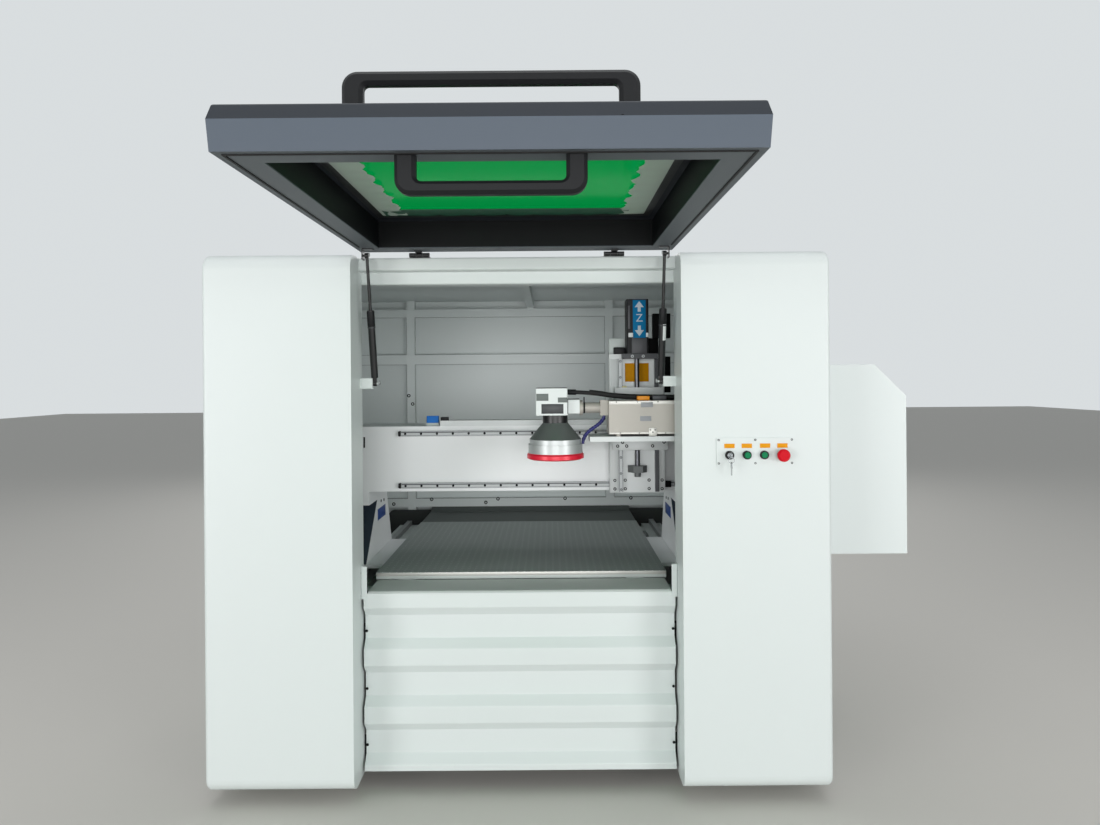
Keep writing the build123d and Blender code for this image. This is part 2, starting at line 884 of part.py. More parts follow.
def strut_rod(side):
    """The rod with its eye, and the stud that reaches out to the bracket on the hood."""
    rod_start = barrel_start + barrel_l - rod_engaged
    with BuildPart() as rod:
        with BuildSketch(strut_plane(side, rod_start)):
            Circle(rod_r)
        extrude(amount=strut_l - rod_start)
        with BuildSketch(Plane.YZ.offset(side * strut_x - eye_w / 2)):
            with Locations((high_y, strut_high_z)):
                Circle(eye_r)
        extrude(amount=eye_w)
        with BuildSketch(Plane.YZ.offset(side * (strut_x + eye_w / 2))):
            with Locations((high_y, strut_high_z)):
                Circle(strut_pin_r)
        extrude(amount=side * (bracket_gap - side_gap))
    return rod


strut_barrel_left = strut_barrel(-1)
strut_barrel_left.part.label = "strut_barrel_left"
export_step(strut_barrel_left.part, "parts/strut_barrel_left.step")
strut_barrel_right = strut_barrel(1)
strut_barrel_right.part.label = "strut_barrel_right"
export_step(strut_barrel_right.part, "parts/strut_barrel_right.step")
strut_rod_left = strut_rod(-1)
strut_rod_left.part.label = "strut_rod_left"
export_step(strut_rod_left.part, "parts/strut_rod_left.step")
strut_rod_right = strut_rod(1)
strut_rod_right.part.label = "strut_rod_right"
export_step(strut_rod_right.part, "parts/strut_rod_right.step")

# Lower strut brackets on the pillars' sides, with their pins
with BuildPart() as strut_brackets:
    for side in (-1, 1):
        with BuildSketch(Plane.YZ.offset(side * gap_x)):
            with Locations((pillar_back - bracket_w / 2, strut_low_z)):
                Rectangle(bracket_w, bracket_l)
        extrude(amount=-side * bracket_t)
        with BuildSketch(Plane.YZ.offset(side * (gap_x - bracket_t))):
            with Locations((low_y, strut_low_z)):
                Circle(strut_pin_r)
        extrude(amount=-side * (gap_x - bracket_t - strut_x + eye_w))
        with BuildSketch(Plane.YZ.offset(side * (gap_x - bracket_t))):
            with Locations((low_y, strut_low_z)):
                Rectangle(bracket_block, bracket_l)
        extrude(amount=-side * (gap_x - bracket_t - strut_x - eye_w / 2 - side_gap))
strut_brackets.part.label = "strut_brackets"
export_step(strut_brackets.part, "parts/strut_brackets.step")

# Upper strut brackets, angles on the hood's flange
hood_bracket_x = strut_x + eye_w / 2 + bracket_gap
with BuildPart() as hood_brackets:
    for side in (-1, 1):
        with BuildSketch(Plane.XZ.offset(-(high_y - hood_bracket_d / 2))):
            with BuildLine():
                FilletPolyline(
                    (side * (hood_bracket_x + bracket_t / 2), hood_flange_z - hood_bracket_h),
                    (side * (hood_bracket_x + bracket_t / 2), hood_flange_z - bracket_t / 2),
                    (side * (hood_bracket_x - hood_bracket_d), hood_flange_z - bracket_t / 2),
                    radius=bracket_t,
                )
            trace(line_width=bracket_t)
        extrude(amount=-hood_bracket_d)
hood_brackets.part.label = "hood_brackets"
export_step(hood_brackets.part, "parts/hood_brackets.step")

# Y rails on the bed's side beams
with BuildPart() as y_rails:
    for x in (-y_rail_x, y_rail_x):
        with BuildSketch(Plane.XZ.offset(-bed_y0)):
            with Locations((x, bed_top + rail_h / 2)):
                Rectangle(rail_w, rail_h)
        extrude(amount=-y_rail_l)
y_rails.part.label = "y_rails"
export_step(y_rails.part, "parts/y_rails.step")

# Gantry legs: two tapered plates under a cap, on a foot plate with two blocks on the Y rail
foot_plate_y = front + (foot_plate_front + leg_back) / 2
foot_plate_l = leg_back - foot_plate_front
with BuildPart() as gantry_legs:
    for side in (-1, 1):
        for x in (leg_x, leg_x + leg_t - leg_plate_t):
            with BuildSketch(Plane.YZ.offset(side * x)):
                with BuildLine():
                    Polyline(
                        (front + leg_front, foot_plate_top),
                        (front + leg_back, foot_plate_top),
                        (front + leg_top_back, leg_top),
                        (front + leg_top_front, leg_top),
                        close=True,
                    )
                make_face()
            extrude(amount=side * leg_plate_t)
        with BuildSketch(Plane.YZ.offset(side * leg_x)):
            with Locations(((beam_y + front + leg_top_back) / 2, (leg_top + beam_low) / 2)):
                Rectangle(front + leg_top_back - beam_y, beam_low - leg_top)
        extrude(amount=side * leg_t)
        with BuildSketch(Plane.XY.offset(foot_plate_top - foot_plate_t)):
            with Locations((side * (foot_plate_in + foot_plate_out) / 2, foot_plate_y)):
                Rectangle(foot_plate_out - foot_plate_in, foot_plate_l)
        extrude(amount=foot_plate_t)
        for y in (foot_plate_y - foot_plate_l / 2, foot_plate_y + foot_plate_l / 2 - block_l):
            with BuildSketch(Plane.XZ.offset(-y)):
                with Locations((side * y_rail_x, bed_top + block_h / 2 + rail_h / 4)):
                    Rectangle(block_w, block_h - rail_h / 2)
                with Locations((side * y_rail_x, bed_top + rail_h / 2)):
                    Rectangle(rail_w + 2 * rail_gap, rail_h + 2 * rail_gap, mode=Mode.SUBTRACT)
            extrude(amount=-block_l)
gantry_legs.part.label = "gantry_legs"
export_step(gantry_legs.part, "parts/gantry_legs.step")

# Gantry beam of rectangular tube
with BuildPart() as beam:
    with BuildSketch(Plane.YZ.offset(-beam_left)):
        with Locations((beam_y + beam_d / 2, beam_low + beam_h / 2)):
            Rectangle(beam_d, beam_h)
            Rectangle(beam_d - 2 * beam_wall, beam_h - 2 * beam_wall, mode=Mode.SUBTRACT)
    extrude(amount=beam_left + beam_right)
beam.part.label = "beam"
export_step(beam.part, "parts/beam.step")

# X rails, and the strip and limit sensor on the beam
with BuildPart() as x_rails:
    for z in (x_rail_low, x_rail_high):
        with BuildSketch(Plane.YZ.offset(x_rail_left)):
            with Locations((beam_y - x_rail_h / 2, z)):
                Rectangle(x_rail_h, x_rail_w)
        extrude(amount=x_rail_end - x_rail_left)
x_rails.part.label = "x_rails"
export_step(x_rails.part, "parts/x_rails.step")

beam_top = beam_low + beam_h
with BuildPart() as beam_strip:
    with BuildSketch(Plane.XY.offset(beam_top)):
        with Locations(((strip_left + strip_right) / 2, beam_y + strip_w / 2)):
            Rectangle(strip_right - strip_left, strip_w)
    extrude(amount=strip_t)
beam_strip.part.label = "beam_strip"
export_step(beam_strip.part, "parts/beam_strip.step")

with BuildPart() as limit_sensor:
    with BuildSketch(Plane.XY.offset(beam_top)):
        with Locations((sensor_x, beam_y + strip_w / 2)):
            RectangleRounded(sensor_w, sensor_d, sensor_r)
    extrude(amount=sensor_h)
limit_sensor.part.label = "limit_sensor"
export_step(limit_sensor.part, "parts/limit_sensor.step")

# Motor of the X axis on the plate that closes the beam's right end
with BuildPart() as x_motor:
    with BuildSketch(Plane.YZ.offset(beam_right)):
        with Locations((beam_y + beam_d / 2, beam_low + beam_h / 2)):
            Rectangle(beam_d, beam_h)
    extrude(amount=x_end_t)
    with BuildSketch(Plane.YZ.offset(beam_right + x_end_t)):
        with Locations((beam_y + beam_d / 2, beam_low + beam_h / 2)):
            RectangleRounded(x_motor_w, x_motor_w, motor_cap_r)
    extrude(amount=x_motor_l)
x_motor.part.label = "x_motor"
export_step(x_motor.part, "parts/x_motor.step")

# X carriage plate with its four blocks on the X rails, and the Z rails on its front
plate_x = (plate_left + plate_right) / 2
mount_low = plate_high - mount_t
with BuildPart() as carriage_plate:
    with BuildSketch(Plane.XZ.offset(-(plate_y + plate_t))):
        with Locations((plate_x, (plate_low + plate_high) / 2)):
            Rectangle(plate_right - plate_left, plate_high - plate_low)
    extrude(amount=plate_t)
    for x in (plate_left, plate_right - x_block_l):
        for z in (x_rail_low, x_rail_high):
            with BuildSketch(Plane.YZ.offset(x)):
                with Locations((beam_y - x_block_h / 2 - x_rail_h / 4, z)):
                    Rectangle(x_block_h - x_rail_h / 2, x_block_w)
                with Locations((beam_y - x_rail_h / 2, z)):
                    Rectangle(x_rail_h + 2 * rail_gap, x_rail_w + 2 * rail_gap, mode=Mode.SUBTRACT)
            extrude(amount=x_block_l)
carriage_plate.part.label = "carriage_plate"
export_step(carriage_plate.part, "parts/carriage_plate.step")

with BuildPart() as z_rails:
    for x in (z_rail_left, z_rail_right):
        with BuildSketch(Plane.XY.offset(z_rail_low)):
            with Locations((x, plate_y - x_rail_h / 2)):
                Rectangle(z_rail_w, x_rail_h)
        extrude(amount=mount_low - z_rail_low)
z_rails.part.label = "z_rails"
export_step(z_rails.part, "parts/z_rails.step")

# Lower screw bearing, a fork shaped block
screw_y = plate_y - screw_out
with BuildPart() as screw_bearing:
    with BuildSketch(Plane.XY.offset(bearing_low)):
        with BuildLine():
            Polyline(
                (screw_x - bearing_w / 2, plate_y),
                (screw_x + bearing_w / 2, plate_y),
                (screw_x + bearing_w / 2, plate_y - bearing_side),
                (screw_x + bearing_w / 4, screw_y - bearing_nose),
                (screw_x - bearing_w / 4, screw_y - bearing_nose),
                (screw_x - bearing_w / 2, plate_y - bearing_side),
                close=True,
            )
        make_face()
        with Locations((screw_x, screw_y)):
            Circle(journal_r + run_gap, mode=Mode.SUBTRACT)
    extrude(amount=bearing_high - bearing_low)
    with BuildSketch(Plane.XY.offset(bearing_low)):
        with Locations((screw_x, screw_y)):
            Circle(bearing_nut_r)
            Circle(journal_r + run_gap, mode=Mode.SUBTRACT)
    extrude(amount=-bearing_nut_h)
screw_bearing.part.label = "screw_bearing"
export_step(screw_bearing.part, "parts/screw_bearing.step")

# Motor mount plate on the front of the carriage plate, level with its top
with BuildPart() as motor_mount:
    with BuildSketch(Plane.XY.offset(mount_low)):
        with Locations(((mount_left + mount_right) / 2, (plate_y + screw_y - motor_w / 2) / 2)):
            Rectangle(mount_right - mount_left, plate_y - screw_y + motor_w / 2)
        with Locations((screw_x, screw_y)):
            Circle(journal_r + run_gap, mode=Mode.SUBTRACT)
    extrude(amount=mount_t)
motor_mount.part.label = "motor_mount"
export_step(motor_mount.part, "parts/motor_mount.step")

with BuildPart() as z_motor:
    with BuildSketch(Plane.XY.offset(plate_high)):
        with Locations((screw_x, screw_y)):
            RectangleRounded(motor_w, motor_w, motor_cap_r)
    extrude(amount=motor_h)
z_motor.part.label = "z_motor"
export_step(z_motor.part, "parts/z_motor.step")

# Ball screw, thicker between its two journals
with BuildPart() as z_screw:
    with BuildSketch(Plane.XY.offset(bearing_low - bearing_nut_h)):
        with Locations((screw_x, screw_y)):
            Circle(journal_r)
    extrude(amount=plate_high - side_gap - bearing_low + bearing_nut_h)
    with BuildSketch(Plane.XY.offset(bearing_high + side_gap)):
        with Locations((screw_x, screw_y)):
            Circle(screw_r)
    extrude(amount=mount_low - bearing_high - 2 * side_gap)
z_screw.part.label = "z_screw"
export_step(z_screw.part, "parts/z_screw.step")

# Head bracket: a back plate with four blocks on the Z rails, the nut housing, and the shelf of the laser box
back_y = head_y - back_plate_t
with BuildPart() as head_bracket:
    with BuildSketch(Plane.XZ.offset(-head_y)):
        with Locations(((z_rail_left + z_rail_right) / 2, (back_plate_low + back_plate_high) / 2)):
            Rectangle(z_rail_right - z_rail_left + x_block_w, back_plate_high - back_plate_low)
    extrude(amount=back_plate_t)
    for x in (z_rail_left, z_rail_right):
        for z in (back_plate_low, back_plate_high - z_block_l):
            with BuildSketch(Plane.XY.offset(z)):
                with Locations((x, plate_y - x_block_h / 2 - x_rail_h / 4)):
                    Rectangle(x_block_w, x_block_h - x_rail_h / 2)
                with Locations((x, plate_y - x_rail_h / 2)):
                    Rectangle(z_rail_w + 2 * rail_gap, x_rail_h + 2 * rail_gap, mode=Mode.SUBTRACT)
            extrude(amount=z_block_l)
    with BuildSketch(Plane.XY.offset(nut_low)):
        with Locations((screw_x, (head_y + plate_y - nut_back) / 2)):
            Rectangle(nut_w, plate_y - nut_back - head_y)
        with Locations((screw_x, screw_y)):
            Circle(screw_r + run_gap, mode=Mode.SUBTRACT)
    extrude(amount=nut_h)
    with BuildSketch(Plane.XY.offset(shelf_low)):
        with BuildLine():
            Polyline(
                (shelf_left, lens_axis_y - laser_d / 2),
                (shelf_right, lens_axis_y - laser_d / 2),
                (shelf_right, lens_axis_y + laser_d / 2),
                (z_rail_right + x_block_w / 2, back_y),
                (z_rail_left - x_block_w / 2, back_y),
                (shelf_left, lens_axis_y + laser_d / 2),
                close=True,
            )
        make_face()
    extrude(amount=shelf_t)
head_bracket.part.label = "head_bracket"
export_step(head_bracket.part, "parts/head_bracket.step")

# Laser box on its spacers, its end plate and the beam tube
with BuildPart() as laser_box:
    with BuildSketch(Plane.XY.offset(laser_low)):
        with Locations(((laser_left + laser_right) / 2, lens_axis_y)):
            Rectangle(laser_right - laser_left, laser_d)
    extrude(amount=laser_h)
    with BuildSketch(Plane.XY.offset(laser_low - laser_lift)):
        with Locations(((laser_left + laser_right) / 2, lens_axis_y)):
            with GridLocations(spacer_x, spacer_y, 2, 2):
                Circle(spacer_r)
    extrude(amount=laser_lift)
laser_box.part.label = "laser_box"
export_step(laser_box.part, "parts/laser_box.step")

with BuildPart() as beam_tube:
    with BuildSketch(Plane.YZ.offset(laser_left)):
        with Locations((lens_axis_y, tube_z)):
            Rectangle(end_plate_d, end_plate_h)
    extrude(amount=-end_plate_w)
    with BuildSketch(Plane.YZ.offset(laser_left - end_plate_w)):
        with Locations((lens_axis_y, tube_z)):
            Circle(tube_r)
    extrude(amount=-(laser_left - end_plate_w - galvo_left - galvo_w - port_w))
    with BuildSketch(Plane.YZ.offset(galvo_left + galvo_w + port_w)):
        with Locations((lens_axis_y, tube_z)):
            Circle(tube_flange_r)
    extrude(amount=tube_flange_t)
beam_tube.part.label = "beam_tube"
export_step(beam_tube.part, "parts/beam_tube.step")

# Galvanometer body with its entry block
with BuildPart() as galvo_body:
    with BuildSketch(Plane.XY.offset(galvo_low)):
        with Locations((galvo_left + galvo_w / 2, lens_axis_y)):
            Rectangle(galvo_w, galvo_d)
    extrude(amount=galvo_h)
    fillet(galvo_body.edges().filter_by(Axis.Z), radius=galvo_r)
    with BuildSketch(Plane.YZ.offset(galvo_left + galvo_w)):
        with Locations((lens_axis_y, galvo_low + port_lift + port_h / 2)):
            RectangleRounded(port_h, port_h, galvo_r)
    extrude(amount=port_w)
galvo_body.part.label = "galvo_body"
export_step(galvo_body.part, "parts/galvo_body.step")

# Lens stack, each piece turned about the lens axis
neck_low = galvo_low - neck_h
cone_low = neck_low - cone_h
barrel1_low = cone_low - barrel1_h
barrel2_low = barrel1_low - barrel2_h
bezel_low = barrel2_low - bezel_h
with BuildPart() as lens_neck:
    with BuildSketch(Plane.XY.offset(neck_low)):
        with Locations((lens_x, lens_axis_y)):
            Circle(neck_r)
            Circle(neck_r - lens_wall, mode=Mode.SUBTRACT)
    extrude(amount=neck_h)
lens_neck.part.label = "lens_neck"
export_step(lens_neck.part, "parts/lens_neck.step")

lens_plane = Plane(origin=(lens_x, lens_axis_y, 0), x_dir=(1, 0, 0), z_dir=(0, -1, 0))
lens_axis = Axis((lens_x, lens_axis_y, 0), (0, 0, 1))
with BuildPart() as lens_cone:
    with BuildSketch(lens_plane):
        with BuildLine():
            Polyline(
                (neck_r, neck_low),
                (cone_r, cone_low),
                (cone_r - lens_wall, cone_low),
                (neck_r - lens_wall, neck_low),
                close=True,
            )
        make_face()
    revolve(axis=lens_axis)
lens_cone.part.label = "lens_cone"
export_step(lens_cone.part, "parts/lens_cone.step")

with BuildPart() as lens_barrel:
    with BuildSketch(lens_plane):
        with BuildLine():
            Polyline(
                (cone_r - lens_wall, cone_low),
                (cone_r, cone_low),
                (cone_r, barrel1_low),
                (barrel2_r, barrel1_low),
                (barrel2_r, barrel2_low),
                (cone_r - lens_wall, barrel2_low),
                close=True,
            )
        make_face()
    revolve(axis=lens_axis)
lens_barrel.part.label = "lens_barrel"
export_step(lens_barrel.part, "parts/lens_barrel.step")

with BuildPart() as lens_bezel:
    with BuildSketch(lens_plane):
        with BuildLine():
            Polyline(
                (cone_r - lens_wall - lens_lip, barrel2_low),
                (barrel2_r, barrel2_low),
                (bezel_r, barrel2_low - bezel_h / 4),
                (bezel_r, bezel_low + bezel_edge / 2),
                (bezel_r - bezel_edge, bezel_low),
                (cone_r - lens_wall - lens_lip, bezel_low),
                close=True,
            )
        make_face()
    revolve(axis=lens_axis)
lens_bezel.part.label = "lens_bezel"
export_step(lens_bezel.part, "parts/lens_bezel.step")

with BuildPart() as lens_glass:
    with BuildSketch(Plane.XY.offset(barrel2_low)):
        with Locations((lens_x, lens_axis_y)):
            Circle(cone_r - lens_wall)
    extrude(amount=glass_t)
lens_glass.part.label = "lens_glass"
export_step(lens_glass.part, "parts/lens_glass.step")

# Air hose from the end plate down to the side of the barrel
hose_x = laser_left - end_plate_w / 2
hose_y = lens_axis_y - hose_side
hose_z = tube_z - end_plate_h / 2
with BuildPart() as air_hose:
    with BuildLine():
        hose_path = FilletPolyline(
            (hose_x, hose_y, hose_z),
            (hose_x, hose_y, hose_z - hose_drop),
            (lens_x + cone_r + hose_r + side_gap, hose_y, hose_end_z),
            (lens_x + cone_r + hose_r + side_gap, hose_y, barrel2_low + barrel2_h),
            radius=hose_bend,
        )
    with BuildSketch(Plane(origin=hose_path @ 0, z_dir=hose_path % 0)):
        Circle(hose_r)
    sweep(path=hose_path)
air_hose.part.label = "air_hose"
export_step(air_hose.part, "parts/air_hose.step")

# Cable from the galvanometer body back over the laser box to the carriage
cable_z = galvo_low + cable_up
cable_rest_z = laser_low + laser_h + cable_r
with BuildPart() as head_cable:
    with BuildLine():
        cable_path = FilletPolyline(
            (galvo_left + galvo_w, lens_axis_y, cable_z),
            (galvo_left + galvo_w + cable_reach, lens_axis_y, cable_z),
            (laser_left + cable_inset, lens_axis_y + cable_back / 2, cable_rest_z),
            (laser_right - cable_inset, lens_axis_y + cable_back, cable_rest_z),
            radius=cable_bend,
        )
    with BuildSketch(Plane(origin=cable_path @ 0, z_dir=cable_path % 0)):
        Circle(cable_r)
    sweep(path=cable_path)
head_cable.part.label = "head_cable"
export_step(head_cable.part, "parts/head_cable.step")

# Control panel plate
with BuildPart() as panel_plate:
    with BuildSketch(Plane.XZ.offset(-front)):
        with Locations((panel_x, panel_z)):
            RectangleRounded(panel_w, panel_h, panel_r)
        with Locations([(x, device_z) for x in device_x]):
            Circle(device_r + cap_gap, mode=Mode.SUBTRACT)
    extrude(amount=panel_t)
panel_plate.part.label = "panel_plate"
export_step(panel_plate.part, "parts/panel_plate.step")

# Bodies of the four devices: a collar on the plate and a barrel through the pillar's sheet
panel_front = front - panel_t
collar_y = panel_front - bezel_out_t
with BuildPart() as device_bodies:
    for n, x in enumerate(device_x):
        bore = lock_r if n == 0 else cap_r
        with BuildSketch(Plane.XZ.offset(-panel_front)):
            with Locations((x, device_z)):
                Circle(bezel_out_r)
        extrude(amount=bezel_out_t)
        with BuildSketch(Plane.XZ.offset(-panel_front)):
            with Locations((x, device_z)):
                Circle(device_r)
        extrude(amount=-device_body_l)
        with BuildSketch(Plane.XZ.offset(-collar_y)):
            with Locations((x, device_z)):
                Circle(bore + cap_gap)
        extrude(amount=-(bezel_out_t + device_body_l - device_floor), mode=Mode.SUBTRACT)
device_bodies.part.label = "device_bodies"
export_step(device_bodies.part, "parts/device_bodies.step")


# Push buttons


def push_button(x, out):
    """A round button that stands out of its collar by the given length and slides in it."""
    with BuildPart() as button:
        with BuildSketch(Plane.XZ.offset(-(collar_y - out))):
            with Locations((x, device_z)):
                Circle(cap_r)
        extrude(amount=-(bezel_out_t + device_body_l - device_floor + out - cap_travel - side_gap))
        chamfer(button.faces().sort_by(Axis.Y)[0].edges(), length=cap_edge)
    return button


button_a = push_button(device_x[1], cap_out_a)
button_a.part.label = "button_a"
export_step(button_a.part, "parts/button_a.step")
button_b = push_button(device_x[2], cap_out_b)
button_b.part.label = "button_b"
export_step(button_b.part, "parts/button_b.step")

with BuildPart() as mushroom_button:
    with BuildSketch(Plane.XZ.offset(-(collar_y - mushroom_out + mushroom_t))):
        with Locations((device_x[3], device_z)):
            Circle(mushroom_r)
    extrude(amount=mushroom_t)
    chamfer(mushroom_button.faces().sort_by(Axis.Y)[0].edges(), length=mushroom_edge)
    with BuildSketch(Plane.XZ.offset(-(collar_y - mushroom_out + mushroom_t))):
        with Locations((device_x[3], device_z)):
            Circle(cap_r)
    extrude(
        amount=-(
            bezel_out_t + device_body_l - device_floor + mushroom_out - mushroom_t - mushroom_travel - side_gap
        )
    )
mushroom_button.part.label = "mushroom_button"
export_step(mushroom_button.part, "parts/mushroom_button.step")

# Key lock: the turning plug, the key in it, and the ring through the key that carries the spare key
key_y = collar_y - lock_out
ring_y = key_y - key_l + key_hole_in
ring_z = device_z - key_w / 2 + key_hole_in - key_ring_r
spare_z = ring_z - key_ring_r + spare_lap
with BuildPart() as lock_plug:
    with BuildSketch(Plane.XZ.offset(-key_y)):
        with Locations((device_x[0], device_z)):
            Circle(lock_r)
    extrude(amount=-(bezel_out_t + device_body_l - device_floor + lock_out - side_gap))
    with BuildSketch(Plane.YZ.offset(device_x[0] - key_t / 2)):
        with Locations((key_y - key_l / 2, device_z)):
            RectangleRounded(key_l, key_w, key_corner_r)
        with Locations((ring_y, spare_z - spare_bow_h / 2)):
            RectangleRounded(spare_bow_w, spare_bow_h, key_corner_r)
        with Locations((ring_y, spare_z - spare_bow_h - spare_blade_l / 2 + spare_lap)):
            Rectangle(spare_blade_w, spare_blade_l)
    extrude(amount=key_t)
    with BuildSketch(Plane.XZ.offset(-(ring_y - key_wire_r))):
        with Locations((device_x[0], ring_z)):
            Circle(key_ring_r + key_wire_r)
            Circle(key_ring_r - key_wire_r, mode=Mode.SUBTRACT)
    extrude(amount=-2 * key_wire_r)
lock_plug.part.label = "lock_plug"
export_step(lock_plug.part, "parts/lock_plug.step")
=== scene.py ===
# %% [markdown]
# # A cabinet laser marking machine
# The CAD model gives the solids: a cabinet of folded sheet, a hood on two gas struts, a gantry over a
# worktable and a marking head on a vertical axis. This script gives them their finishes and adds the
# small things that are too fine for the solids, such as screws, rail holes, cables and labels.
# First the frame is loaded, and its solids and its record are kept.

import bpy
import json
import math
from mathutils import Matrix, Vector


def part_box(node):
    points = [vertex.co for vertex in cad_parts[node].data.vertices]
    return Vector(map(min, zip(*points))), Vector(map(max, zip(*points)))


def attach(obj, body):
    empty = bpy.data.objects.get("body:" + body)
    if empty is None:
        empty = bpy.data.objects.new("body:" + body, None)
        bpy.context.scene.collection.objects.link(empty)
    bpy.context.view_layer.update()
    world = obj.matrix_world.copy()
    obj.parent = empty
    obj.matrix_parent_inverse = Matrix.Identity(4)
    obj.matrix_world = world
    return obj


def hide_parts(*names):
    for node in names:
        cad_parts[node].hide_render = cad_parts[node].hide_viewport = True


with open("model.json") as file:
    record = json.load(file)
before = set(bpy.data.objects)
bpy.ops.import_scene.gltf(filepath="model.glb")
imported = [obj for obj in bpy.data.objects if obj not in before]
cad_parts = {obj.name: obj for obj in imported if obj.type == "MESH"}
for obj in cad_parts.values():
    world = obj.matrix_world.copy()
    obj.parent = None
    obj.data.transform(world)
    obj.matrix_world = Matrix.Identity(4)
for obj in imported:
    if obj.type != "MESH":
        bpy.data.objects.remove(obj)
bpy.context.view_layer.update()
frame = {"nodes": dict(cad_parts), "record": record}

# %% [markdown]
# ## Camera
# The photograph was taken standing in front of the machine, a little right of its middle, with a wide lens
# held level. A camera that tilts makes upright edges lean together, so the picture is shifted instead, which
# keeps them parallel. The camera is rolled by less than half a degree, as a hand-held one is.

# %% Camera
scene = bpy.context.scene
scene.view_settings.view_transform = "Standard"
camera_place = (0.107, -3.151, 1.371)
camera_lens = 24.55
camera_sensor = 36
camera_shift_up = -0.0323
camera_roll = 0.45
camera_reach = 100
camera_data = bpy.data.cameras.new("camera")
camera_data.lens = camera_lens
camera_data.sensor_width = camera_sensor
camera_data.shift_y = camera_shift_up
camera_data.clip_end = camera_reach
camera = bpy.data.objects.new("camera", camera_data)
camera.location = camera_place
camera.rotation_euler = (math.radians(90), math.radians(camera_roll), 0)
scene.collection.objects.link(camera)
scene.camera = camera
print("camera", camera_place, "lens", camera_lens)

# %% [markdown]
# ## Finishes
# Each finish starts from what the real surface is. The Principled shader can be paint, plastic, glass or
# metal, so one helper makes a material with it and sets what differs. A colour is written as the sRGB hex
# value that the eye sees, and one function turns it to the linear values that the shader wants. One more
# function adds a node with its settings and links.

# %% Helpers for finishes
def srgb(code):
    """Linear RGBA from a hex colour."""
    channels = [int(code[n:n + 2], 16) / 255 for n in (1, 3, 5)]
    linear = [c / 12.92 if c <= 0.04045 else ((c + 0.055) / 1.055) ** 2.4 for c in channels]
    return (*linear, 1)


def node(material, kind, links=(), **settings):
    """Adds a node. links are (own socket, other node, its socket); settings name properties or sockets."""
    tree = material.node_tree
    made = tree.nodes.new(kind)
    for key, value in settings.items():
        if hasattr(made, key):
            setattr(made, key, value)
        else:
            made.inputs[key.replace("_", " ")].default_value = value
    for own, other, out in links:
        tree.links.new(other.outputs[out], made.inputs[own])
    return made


def finish(name, code, roughness, metallic=0.0, **shader):
    """A plain material with its Principled shader."""
    material = bpy.data.materials.new(name)
    material.use_nodes = True
    surface = material.node_tree.nodes["Principled BSDF"]
    surface.inputs["Base Color"].default_value = srgb(code)
    surface.inputs["Roughness"].default_value = roughness
    surface.inputs["Metallic"].default_value = metallic
    for key, value in shader.items():
        surface.inputs[key.replace("_", " ")].default_value = value
    return material


print("middle grey is", round(srgb("#808080")[0], 3), "in linear light")

# %% [markdown]
# ### Powder coats
# The cabinet is sheet steel with a satin white powder coat, sprayed dry and baked. The powder melts into
# waves a few millimetres wide and only microns deep, an orange peel that is too shallow to model, so noise
# drives a bump node, with its scale worked out from the width of a wave. The hood's band catches the light
# below its fold and is dark above it, so shade is painted into its coats above one height, and into the
# inside of its flange frame as well. A second material on the upper faces would do it too, but the solids are
# left as they are, and a height needs no selection.

# %% Grain and painted shade above a height
def grain(material, size_mm, strength):
    """Fine noise as a bump, with its size in millimetres on the piece."""
    tree = material.node_tree
    place = node(material, "ShaderNodeTexCoord")
    scale = 1000 / size_mm
    noise = node(material, "ShaderNodeTexNoise", [("Vector", place, "Object")], Scale=scale, Detail=2.0)
    bump = node(material, "ShaderNodeBump", [("Height", noise, "Fac")], Strength=strength, Distance=0.0004)
    tree.links.new(bump.outputs["Normal"], tree.nodes["Principled BSDF"].inputs["Normal"])
    return material


def paint_shade_above(material, height, low_code, shade_code):
    """Paints shade on a piece above one height in metres, where its colour changes to the shade colour."""
    place = node(material, "ShaderNodeTexCoord")
    split = node(material, "ShaderNodeSeparateXYZ", [("Vector", place, "Object")])
    above = node(material, "ShaderNodeMath", [(0, split, "Z")], operation="GREATER_THAN")
    above.inputs[1].default_value = height
    ramp = node(material, "ShaderNodeValToRGB", [("Fac", above, "Value")])
    ramp.color_ramp.elements[0].color = srgb(low_code)
    ramp.color_ramp.elements[1].color = srgb(shade_code)
    tree = material.node_tree
    tree.links.new(ramp.outputs["Color"], tree.nodes["Principled BSDF"].inputs["Base Color"])
    return material


peel_mm, peel_strength = 2.5, 0.10
texture_mm, texture_strength = 1.6, 0.25
print("waves of", peel_mm, "and", texture_mm, "mm")

# %% Powder coats and enamel
# Satin white on the sheet metal: a soft sheen with no clear reflection.
white_powder_coat = grain(finish("white_powder_coat", "#D3DAD9", 0.38), peel_mm, peel_strength)

# The same coat on the beam and legs of the gantry, in a brighter copy: painted light that lifts them out of
# the shade inside the cabinet.
beam_white_painted_light = grain(finish("beam_white_painted_light", "#E6E9EA", 0.38), peel_mm, peel_strength)

# Light grey on the bed frame and on small brackets, a little duller.
grey_powder_coat = grain(finish("grey_powder_coat", "#B9C1BF", 0.45), peel_mm, peel_strength)

